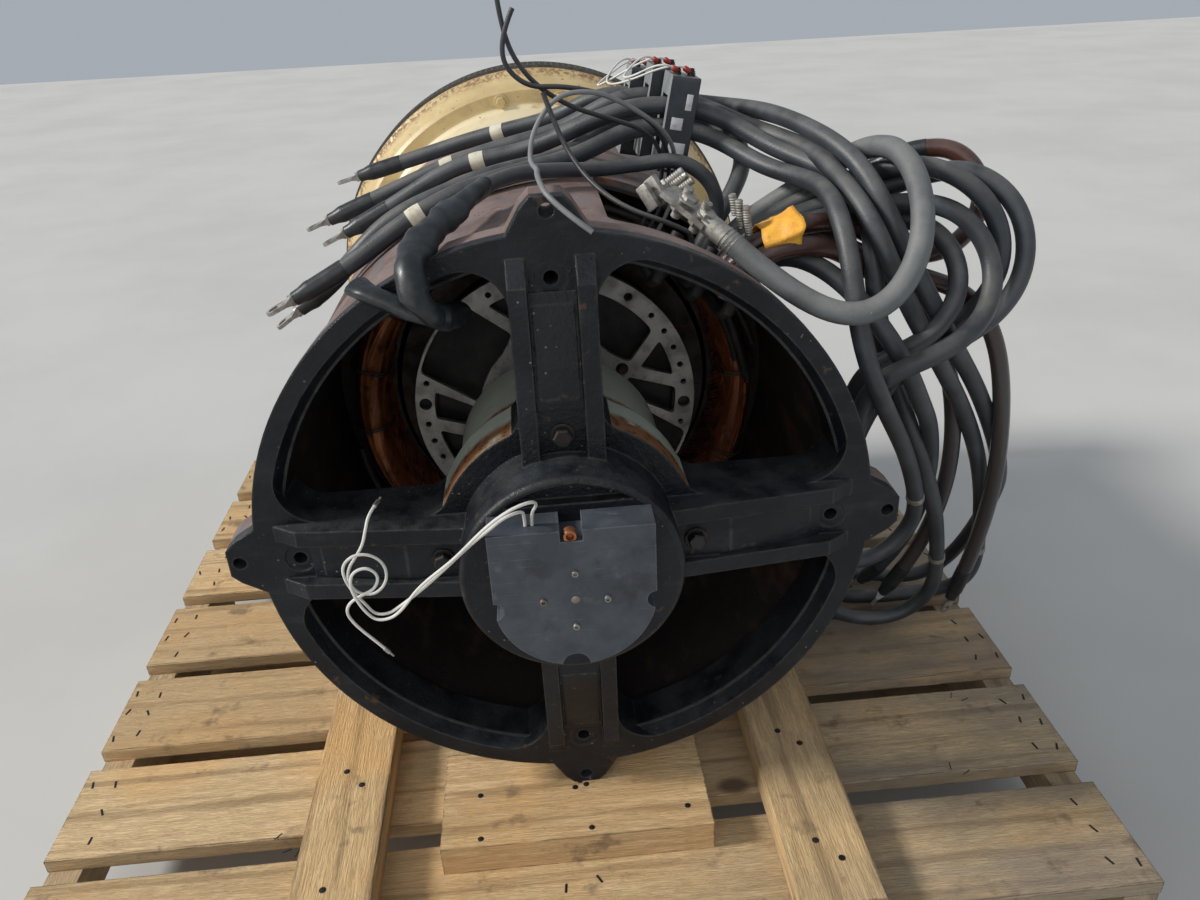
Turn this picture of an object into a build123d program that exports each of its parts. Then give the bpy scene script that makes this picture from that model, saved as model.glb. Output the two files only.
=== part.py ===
"""Generator end: an alternator with its open end bracket towards -Y, standing on a timber pallet.

Millimetres, +Z up. The shaft lies along Y and the engine end points to +Y. Sizes along the
shaft are measured from the front face of the end bracket, and save() then moves everything so
that the origin is on the ground below the middle of the whole length. The routes of the leads
are given where they lie in that last frame.
"""
from build123d import *
from math import cos, radians, sin, tan
import os

# Pallet
board_length = 1219.0
board_width = 138.0
board_thickness = 18.0
board_pitch = 170.3
board_count = 7
board_front = -176.6
board_edge = 1.5
stringer_width = 38.0
stringer_height = 89.0
stringer_inset = 2.0
notch_length = 229.0
notch_height = 38.0
notch_from_end = 152.0
notch_corner = 12.0
middle_board_start = 395.0

# Timber laid on the pallet
rail_width = 88.0
rail_thickness = 38.0
rail_front = -190.0
rail_length = 640.0
rail_edge = 3.0
left_rail_x = -259.0
right_rail_x = 262.5
block_length = 300.0
block_depth = 138.0
block_thickness = 38.0
block_front = -78.6
block_x = 1.3
shim_length = 400.0
shim_depth = 88.0
shim_thickness = 18.0
shim_behind_lip = 20.0

# Shaft line and bearing
shaft_x = 16.3
fit_gap = 0.2
running_clearance = 0.05
bearing_radius = 40.0
bearing_front = -46.0
bearing_length = 60.0
bearing_step = 4.0

# Stator: the shell slips over the spigot of the end bracket
spigot_radius = 285.8
shell_bore = spigot_radius + fit_gap
shell_radius = shell_bore + 12.0
shell_ring_radius = shell_radius + 7.0
shell_ring_depth = 30.0
shell_rear = 698.0
core_front = 400.0
core_rear = 697.0
core_bore = shell_bore - 74.0
winding_inner = core_bore + 4.0
winding_outer = shell_bore - 20.0
winding_swell = 4.0
winding_bevel = 6.0
winding_crown = 18.0
winding_lean = 14.0
winding_length = 92.0

# End bracket casting
rim_radius = shell_ring_radius + 1.4
rim_thickness = 16.0
window_radius = spigot_radius + 3.2
spigot_wall = 7.0
spigot_seat = 2.0
bracket_depth = 60.0
ear_tip_radius = rim_radius + 29.4
ear_hole_circle = ear_tip_radius - 11.3
ear_hole_radius = 6.5
ear_tip_half_width = 14.0
ear_shoulder_half_width = 23.0
ear_shoulder_drop = 9.0
ear_base_half_width = 44.0
ear_root = window_radius + 3.0
arm_count = 4
spoke_width = 78.0
spoke_rib_width = 17.0
spoke_rib_end = spigot_radius - 0.8
spoke_bevel_end = spoke_rib_end - 23.0
spoke_bevel_rise = 15.0
spoke_hub_rise = 34.0
spoke_hole_circle = spigot_radius - 20.05
spoke_hole_radius = 6.5
spoke_spot_radius = 14.5
spoke_spot_depth = 1.5
spoke_fillet = 26.0
window_corner = 40.0
pocket_outer = spoke_rib_end - 45.0
pocket_inner = pocket_outer - 88.0
pocket_depth = 18.0
bolt_pad_rise = 22.0
hub_radius = 106.0
hub_front = -72.6
hub_edge = 5.0
hub_base_radius = hub_radius + 22.0
hub_base_rise = 4.0
hub_recess_radius = hub_radius - 7.0
hub_recess_depth = 12.0

# End cover on the hub
cover_half_width = 74.0
cover_top = 73.0
cover_depth = 34.0
cover_notch_radius = 9.0
cover_notch_drop = 7.0
cover_lower_notch_radius = 13.0
cover_lower_notch_shift = 3.0
cover_slot_width = 20.0
cover_slot_drop = 11.0
hub_ledge_height = cover_top + 7.0

# Exciter housing
exciter_shaft_radius = bearing_radius + 8.0
exciter_bore_radius = exciter_shaft_radius + 14.0
exciter_radius = 115.0
exciter_flange_radius = exciter_radius + 4.0
exciter_flange_thickness = 14.0
exciter_rear = 200.0
exciter_rear_edge = 4.0

# Lead opening in the shell, and the varnished bundle of winding tails below it
lead_opening_start = 90.0
lead_opening_length = 210.0
lead_opening_angle = 30.5
lead_opening_width = 194.0
lead_opening_corner = 12.0
lead_bundle_start = 92.0
lead_bundle_left = -30.0
lead_bundle_right = 84.0
lead_bundle_top = shell_bore - 24.0
lead_bundle_thickness = 30.0
lead_bundle_edge = 8.0
lead_rise = shell_radius + 6.0

# Engine-end adapter
adapter_radius = shell_radius + 2.0
adapter_bore = shell_bore + 2.0
adapter_face = 866.0
adapter_lip_front = 905.0
adapter_lip_rear = 928.0
adapter_edge = 6.0
adapter_throat = 22.0
screen_length = 62.0
screen_thickness = 1.5
flange_radius = 355.6
flange_thickness = 18.0
flange_bore = flange_radius - 31.75
flange_bolt_circle = flange_radius - 15.875
flange_bolt_count = 16
flange_bolt_radius = 6.75
screen_radius = flange_radius - 6.6
adapter_face_radius = flange_radius - 22.6
post_count = 8
post_width = 34.0
post_inner = flange_bore + 2.0
post_outer = screen_radius - 5.0

# Rotor
core_shaft_radius = bearing_radius + 20.0
shaft_chamfer = 2.0
shaft_step = 4.0
rotor_radius = core_bore - 7.0
ring_radius = rotor_radius - 23.0
ring_width = 27.0
ring_thickness = 8.0
ring_front = 326.0
ring_boss = 16.0
ring_window_count = 6
ring_arm_width = 14.0
ring_arm_lean = 19.0
ring_arm_pivot = 20.0
ring_arm_overlap = 12.0
end_disc_radius = rotor_radius - 29.0
end_disc_front = 350.0
end_disc_thickness = 42.0
fan_radius = adapter_bore - 26.0
fan_front = 800.0
fan_length = 78.0
fan_hub_wall = 24.0
fan_plate_thickness = 6.0
fan_blade_thickness = 6.0
fan_blade_inner = core_shaft_radius + 70.0
fan_blade_outer = fan_radius - 4.0
fan_blade_count = 12
disc_radius = 233.35
disc_thickness = 6.0
disc_bolt_circle = disc_radius - 14.275
disc_bolt_count = 8
disc_bolt_radius = 6.75
disc_reach = 25.4

# Current transformers, each hung on the upper lead that runs through its window
ct_thickness = 32.0
ct_width = 62.0
ct_height = 104.0
ct_corner = 4.0
ct_window_width = 34.0
ct_window_height = 58.0
ct_tilt = 11.0
ct_lead_gap = 0.3

# Lugs and the bolted connector on the ends of the leads
lug_barrel_radius = 6.5
lug_barrel_length = 26.0
lug_tongue_length = 32.0
lug_tongue_width = 18.0
lug_tongue_thickness = 4.0
lug_hole_radius = 5.5
connector_barrel_radius = 11.0
connector_barrel_length = 30.0
connector_plate_length = 56.0
connector_plate_width = 26.0
connector_plate_thickness = 6.0
connector_bolt_radius = 5.0
connector_bolt_length = 34.0
connector_head_radius = 9.0
connector_head_height = 7.0
connector_bolt_pitch = 24.0

heavy_lead = 20.0
grey_cable = 23.0
thin_wire = 5.0
white_wire = 3.0
arc_share = 0.45

deck_top = board_thickness + stringer_height + board_thickness
shaft_z = deck_top + max(block_thickness + ear_tip_radius,
                         shim_thickness + fit_gap + flange_radius)
flange_rear = adapter_lip_rear + screen_length + flange_thickness
disc_rear = flange_rear + disc_reach
middle_y = (rail_front + disc_rear) / 2


def save(shape, name):
    """Write one node, moved so that the origin is below the middle of the length."""
    export_step(Pos(0, -middle_y, 0) * shape, f"parts/{name}.step")


def on_shaft(shape):
    """Move a piece drawn about the Y axis up to the shaft line."""
    return Pos(shaft_x, 0, shaft_z) * shape


def turned(points):
    """Revolve a profile of (radius, distance along the shaft) about the shaft."""
    return revolve(make_face(Polyline(*points, close=True)), Axis.Y)


def tube(inner, outer, start, end):
    """A plain ring about the shaft."""
    return turned([(inner, start), (outer, start), (outer, end), (inner, end)])


def disc(radius, start, end):
    """A plain round plate or bar about the shaft."""
    return Pos(0, start, 0) * extrude(Plane.XZ * Circle(radius), -(end - start))


def block(x0, x1, y0, y1, z0, z1):
    """A box between two corners."""
    return Pos((x0 + x1) / 2, (y0 + y1) / 2, (z0 + z1) / 2) * Box(x1 - x0, y1 - y0, z1 - z0)


def turn_about_shaft(shape, angle):
    """Turn a piece drawn at the top of the shaft clockwise, as seen from the front."""
    return Rot(0, angle, 0) * shape


def arm_angle(i):
    return i * 360 / arm_count


def drill(radius, circle, angle, start, end):
    """A hole along the shaft at a distance from it."""
    hole = Pos(0, 0, circle) * disc(radius, start, end)
    return turn_about_shaft(hole, angle)


def pallet_depth():
    return (board_count - 1) * board_pitch + board_width


def deck_boards():
    """The boards that the load stands on, with their top edges eased."""
    boards = []
    for i in range(board_count):
        y0 = board_front + i * board_pitch
        board = block(-board_length / 2, board_length / 2, y0, y0 + board_width,
                      deck_top - board_thickness, deck_top)
        boards.append(chamfer(board.edges().group_by(Axis.Z)[-1], board_edge))
    return Compound(children=boards)


def stringers():
    """Three bearers with the notches that a fork truck's forks pass through from the side."""
    bearers = []
    y0 = board_front
    y1 = board_front + pallet_depth()
    for side in (-1, 0, 1):
        middle = side * (board_length / 2 - stringer_inset - stringer_width / 2)
        bearer = block(middle - stringer_width / 2, middle + stringer_width / 2, y0, y1,
                       board_thickness, board_thickness + stringer_height)
        for start in (y0 + notch_from_end, y1 - notch_from_end - notch_length):
            notch = block(middle - stringer_width, middle + stringer_width,
                          start, start + notch_length, 0, board_thickness + notch_height)
            bearer -= fillet(notch.edges().filter_by(Axis.X).group_by(Axis.Z)[-1], notch_corner)
        bearers.append(bearer)
    return Compound(children=bearers)


def bottom_boards():
    """The boards that rest on the ground."""
    last = pallet_depth() - board_width
    boards = []
    for start in (0, middle_board_start, last - middle_board_start, last):
        y0 = board_front + start
        boards.append(block(-board_length / 2, board_length / 2, y0, y0 + board_width,
                            0, board_thickness))
    return Compound(children=boards)


def rail(x):
    """A plank that lies flat across the deck."""
    plank = block(x - rail_width / 2, x + rail_width / 2, rail_front, rail_front + rail_length,
                  deck_top, deck_top + rail_thickness)
    return fillet(plank.edges().filter_by(Axis.Y), rail_edge)


def front_block():
    """The block that the bottom ear of the end bracket stands on."""
    return block(block_x - block_length / 2, block_x + block_length / 2,
                 block_front, block_front + block_depth, deck_top, shaft_z - ear_tip_radius)


def rear_shim():
    """The thin board under the adapter's rim."""
    end = adapter_lip_rear + shim_behind_lip
    return block(shaft_x - shim_length / 2, shaft_x + shim_length / 2, end - shim_depth, end,
                 deck_top, shaft_z - flange_radius - fit_gap)


def ear(start, end):
    """One bolting ear with a flat tip and round shoulders, at the top of the shaft."""
    shoulder = ear_tip_radius - ear_shoulder_drop
    half = [(ear_base_half_width, ear_root), (ear_shoulder_half_width, shoulder),
            (ear_tip_half_width, ear_tip_radius)]
    points = [(-x, z) for x, z in half] + half[::-1]
    face = make_face(Polyline(*points, close=True))
    return Pos(0, start, 0) * extrude(Plane.XZ * face, -(end - start))


def spoke():
    """One arm: two ribs that rise towards the hub, a pocket between them and a bolt pad."""
    root = hub_radius - spoke_rib_width
    side = [
        (root, bracket_depth),
        (root, -spoke_hub_rise),
        (spoke_bevel_end, -spoke_bevel_rise),
        (spoke_rib_end, 0),
        (window_radius + spigot_seat, 0),
        (window_radius + spigot_seat, rim_thickness),
        (spigot_radius, rim_thickness),
        (spigot_radius, bracket_depth * 0.75),
        (pocket_outer, bracket_depth),
    ]
    outline = make_face(Polyline(*[(y, r) for r, y in side], close=True))
    arm = extrude(Plane.YZ * outline, spoke_width / 2, both=True)
    arm -= tube(spigot_radius - 1, rim_radius, rim_thickness, bracket_depth + 1)
    channel = spoke_width / 2 - spoke_rib_width
    far = -spoke_hub_rise - 1
    arm -= block(-channel, channel, far, 0, pocket_outer, spoke_rib_end + 1)
    arm -= block(-channel, channel, far, pocket_depth, pocket_inner, pocket_outer)
    arm -= block(-channel, channel, far, -bolt_pad_rise, root, pocket_inner)
    return arm


def arm_web():
    """The plate behind the hub, with large hollow corners where the arms leave it."""
    reach = hub_base_radius + spoke_fillet * 2
    plan = Sketch() + Circle(hub_base_radius)
    for i in range(arm_count):
        plan += Rot(0, 0, arm_angle(i)) * Pos(0, reach / 2) * Rectangle(spoke_width, reach)
    corners = [v for v in plan.vertices()
               if Vector(v.X, v.Y, v.Z).length < hub_base_radius + 1]
    plan = fillet(corners, spoke_fillet)
    start = -hub_base_rise
    return Pos(0, start, 0) * extrude(Plane.XZ * plan, -(bracket_depth - start))


def rim_corners():
    """The round corners of the four windows, where the arms run into the rim."""
    seat = window_radius + spigot_seat
    start = window_radius - window_corner * 2
    plan = Circle(seat) - Circle(window_radius)
    for i in range(arm_count):
        plan += Rot(0, 0, arm_angle(i)) * Pos(0, (start + seat) / 2) * Rectangle(
            spoke_width, seat - start)
    plan = plan & Circle(seat)
    corners = [v for v in plan.vertices()
               if abs(Vector(v.X, v.Y, v.Z).length - window_radius) < spigot_seat / 2]
    plan = fillet(corners, window_corner)
    webs = extrude(Plane.XZ * plan, -bracket_depth)
    return webs - tube(spigot_radius - 1, seat + 1, rim_thickness, bracket_depth + 1)


def bracket_casting():
    """The open end bracket: rim with four ears, spigot, four arms and the bearing hub."""
    rim = tube(window_radius, rim_radius, 0, rim_thickness)
    inner = spigot_radius - spigot_wall
    spigot = turned([
        (inner, rim_thickness - 1),
        (window_radius + spigot_seat, rim_thickness - 1),
        (window_radius + spigot_seat, rim_thickness),
        (spigot_radius, rim_thickness),
        (spigot_radius, bracket_depth),
        (inner, bracket_depth),
    ])
    cone = turned([
        (window_radius, 0),
        (window_radius + spigot_seat, 0),
        (window_radius + spigot_seat, rim_thickness),
        (spigot_radius, rim_thickness),
        (inner, rim_thickness * 1.75),
        (inner, rim_thickness * 1.25),
    ])
    hub = disc(hub_radius, hub_front, bracket_depth)
    hub = fillet(hub.edges().group_by(Axis.Y)[0], hub_edge)
    body = rim + spigot + cone + hub + arm_web() + rim_corners()
    arm = spoke()
    lug = ear(0, rim_thickness)
    for i in range(arm_count):
        body += turn_about_shaft(arm, arm_angle(i))
        body += turn_about_shaft(lug, arm_angle(i))
    cuts = [disc(bearing_radius + running_clearance, bearing_front, bracket_depth + 1),
            disc(exciter_bore_radius, bearing_front + bearing_length, bracket_depth + 1)]
    recess = disc(hub_recess_radius, hub_front - 1, hub_front + hub_recess_depth)
    recess &= block(-hub_radius, hub_radius, hub_front - 1, 0, hub_ledge_height, hub_radius)
    cuts.append(recess)
    for i in range(arm_count):
        angle = arm_angle(i)
        cuts.append(drill(ear_hole_radius, ear_hole_circle, angle, -1, rim_thickness + 1))
        cuts.append(drill(spoke_hole_radius, spoke_hole_circle, angle, -1, bracket_depth + 1))
        cuts.append(drill(spoke_spot_radius, spoke_hole_circle, angle, -1, spoke_spot_depth))
    for cut in cuts:
        body -= cut
    return body


def end_cover():
    """The cap over the bearing: square at the top, round below, with its cut-outs."""
    r = cover_half_width
    outline = make_face(Polyline((-r, 0), (-r, cover_top), (r, cover_top), (r, 0), close=True))
    outline += Circle(r)
    for side in (-r, r):
        outline -= Pos(side, -cover_notch_drop) * Circle(cover_notch_radius)
    outline -= Pos(-cover_lower_notch_shift, -r) * Circle(cover_lower_notch_radius)
    outline -= Pos(0, cover_top) * Rectangle(cover_slot_width, cover_slot_drop * 2)
    return Pos(0, hub_front - cover_depth, 0) * extrude(Plane.XZ * outline, -cover_depth)


def exciter_housing():
    """The round housing behind the hub, open in the middle for the shaft."""
    flange_end = bracket_depth + exciter_flange_thickness
    return turned([
        (exciter_bore_radius, bracket_depth),
        (exciter_flange_radius, bracket_depth),
        (exciter_flange_radius, flange_end),
        (exciter_radius, flange_end),
        (exciter_radius, exciter_rear - exciter_rear_edge),
        (exciter_radius - exciter_rear_edge, exciter_rear),
        (exciter_bore_radius, exciter_rear),
    ])


def stator_shell():
    """The wrapper round the stator, with its front ring, four ears and the lead opening."""
    ring_end = rim_thickness + shell_ring_depth
    shell = tube(shell_bore, shell_radius, rim_thickness, shell_rear)
    shell += tube(shell_bore, shell_ring_radius, rim_thickness, ring_end)
    lug = ear(rim_thickness, ring_end) - disc(shell_bore, rim_thickness - 1, ring_end + 1)
    for i in range(arm_count):
        shell += turn_about_shaft(lug, arm_angle(i))
        shell -= drill(ear_hole_radius, ear_hole_circle, arm_angle(i), 0, ring_end + 1)
    opening = block(-lead_opening_width / 2, lead_opening_width / 2,
                    lead_opening_start, lead_opening_start + lead_opening_length,
                    lead_bundle_top, shell_radius + shell_ring_depth)
    opening = fillet(opening.edges().filter_by(Axis.Z), lead_opening_corner)
    shell -= turn_about_shaft(opening, lead_opening_angle)
    return shell


def stator_core():
    """The stack of laminations in the wrapper."""
    return tube(core_bore, shell_bore - fit_gap, core_front, core_rear)


def end_winding(root, mouth):
    """One bundle of coil ends, thicker where it leaves the core."""
    lean = winding_lean if mouth > root else -winding_lean
    return turned([
        (winding_inner + winding_bevel, mouth),
        (winding_outer - winding_crown, mouth),
        (winding_outer, mouth - lean * 2),
        (winding_outer + winding_swell, root),
        (winding_inner, root),
        (winding_inner, mouth - lean),
    ])


def lead_bundle():
    """The lacquered tails of the coils, gathered below the opening in the shell."""
    bottom = lead_bundle_top - lead_bundle_thickness
    bundle = block(lead_bundle_left, lead_bundle_right,
                   lead_bundle_start, core_front - winding_length, bottom, lead_bundle_top)
    bundle = fillet(bundle.edges().filter_by(Axis.Y).group_by(Axis.Z)[0], lead_bundle_edge)
    return turn_about_shaft(bundle, lead_opening_angle)


def adapter_casting():
    """The engine-end bell: bolt face, flared rim, posts and the engine flange."""
    body = turned([
        (adapter_bore, shell_rear),
        (adapter_radius, shell_rear),
        (adapter_radius, adapter_face - adapter_edge),
        (adapter_radius + adapter_edge, adapter_face),
        (adapter_face_radius - adapter_edge, adapter_face),
        (adapter_face_radius, adapter_face + adapter_edge),
        (flange_radius - adapter_edge, adapter_lip_front),
        (flange_radius, adapter_lip_front + adapter_edge),
        (flange_radius, adapter_lip_rear),
        (flange_bore, adapter_lip_rear),
        (adapter_bore, adapter_face + adapter_throat),
    ])
    rear = adapter_lip_rear + screen_length
    flange = tube(flange_bore, flange_radius, rear, flange_rear)
    for i in range(flange_bolt_count):
        flange -= drill(flange_bolt_radius, flange_bolt_circle,
                        (i + 0.5) * 360 / flange_bolt_count, rear - 1, flange_rear + 1)
    body += flange
    post = block(-post_width / 2, post_width / 2, adapter_lip_rear - 1, rear + 1,
                 post_inner, post_outer)
    for i in range(post_count):
        body += turn_about_shaft(post, (i + 0.5) * 360 / post_count)
    return body


def vent_screen():
    """The band of perforated sheet round the air outlet."""
    return tube(screen_radius, screen_radius + screen_thickness, adapter_lip_rear + fit_gap,
                adapter_lip_rear + screen_length - fit_gap)


def shaft():
    """The shaft, from the bearing in the hub to the coupling discs."""
    start = bearing_front + bearing_step
    bearing_end = bearing_front + bearing_length + bearing_step
    core_start = exciter_rear + bearing_length / 3
    end = disc_rear - disc_thickness
    return turned([
        (0, start),
        (bearing_radius - shaft_chamfer, start),
        (bearing_radius, start + shaft_chamfer),
        (bearing_radius, bearing_end),
        (exciter_shaft_radius, bearing_end + exciter_shaft_radius - bearing_radius),
        (exciter_shaft_radius, core_start),
        (core_shaft_radius, core_start + shaft_step),
        (core_shaft_radius, end),
        (0, end),
    ])


def balance_ring():
    """The light-metal balance ring on its V-shaped arms."""
    start, end = ring_front, ring_front + ring_thickness
    inner = core_shaft_radius + fit_gap
    body = tube(ring_radius - ring_width, ring_radius, start, end)
    body += tube(inner, core_shaft_radius + ring_boss, start, end)
    pivot = Pos(0, 0, ring_radius - ring_arm_pivot)
    arm = block(-ring_arm_width / 2, ring_arm_width / 2, start, end,
                0, ring_radius - ring_width + ring_arm_overlap)
    for i in range(ring_window_count):
        for lean in (-ring_arm_lean, ring_arm_lean):
            leaning = pivot * Rot(0, lean, 0) * pivot.inverse() * arm
            body += turn_about_shaft(leaning, (i + 0.5) * 360 / ring_window_count)
    return body - disc(inner, start - 1, end + 1)


def end_disc():
    """The black end plate of the rotor winding."""
    return tube(core_shaft_radius + fit_gap, end_disc_radius,
                end_disc_front, end_disc_front + end_disc_thickness)


def rotor_core():
    """The pole body of the rotor."""
    return tube(core_shaft_radius + fit_gap, rotor_radius,
                end_disc_front + end_disc_thickness, core_rear + fan_hub_wall / 3)


def fan():
    """The cooling fan: back plate, hub and straight blades."""
    inner = core_shaft_radius + fit_gap
    fan_rear = fan_front + fan_length
    body = tube(inner, fan_radius, fan_rear - fan_plate_thickness, fan_rear)
    body += tube(inner, core_shaft_radius + fan_hub_wall, fan_front, fan_rear)
    blade = block(-fan_blade_thickness / 2, fan_blade_thickness / 2, fan_front,
                  fan_rear - fan_plate_thickness / 2, fan_blade_inner, fan_blade_outer)
    for i in range(fan_blade_count):
        body += turn_about_shaft(blade, i * 360 / fan_blade_count)
    return body


def coupling_discs():
    """The flexible discs that bolt to the engine's flywheel."""
    start = disc_rear - disc_thickness
    body = disc(disc_radius, start, disc_rear)
    for i in range(disc_bolt_count):
        body -= drill(disc_bolt_radius, disc_bolt_circle, i * 360 / disc_bolt_count,
                      start - 1, disc_rear + 1)
    return body


def in_opening(across, along, height):
    """A point in the lead opening, across it, along the saved frame's Y and up from the shaft."""
    angle = radians(lead_opening_angle)
    return (shaft_x + across * cos(angle) + height * sin(angle), along,
            shaft_z - across * sin(angle) + height * cos(angle))


def from_opening(across, along, points):
    """A route that stands straight up out of the bundle and then follows its own points."""
    return [in_opening(across, along, lead_bundle_top), in_opening(across, along, lead_rise),
            *points]


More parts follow.
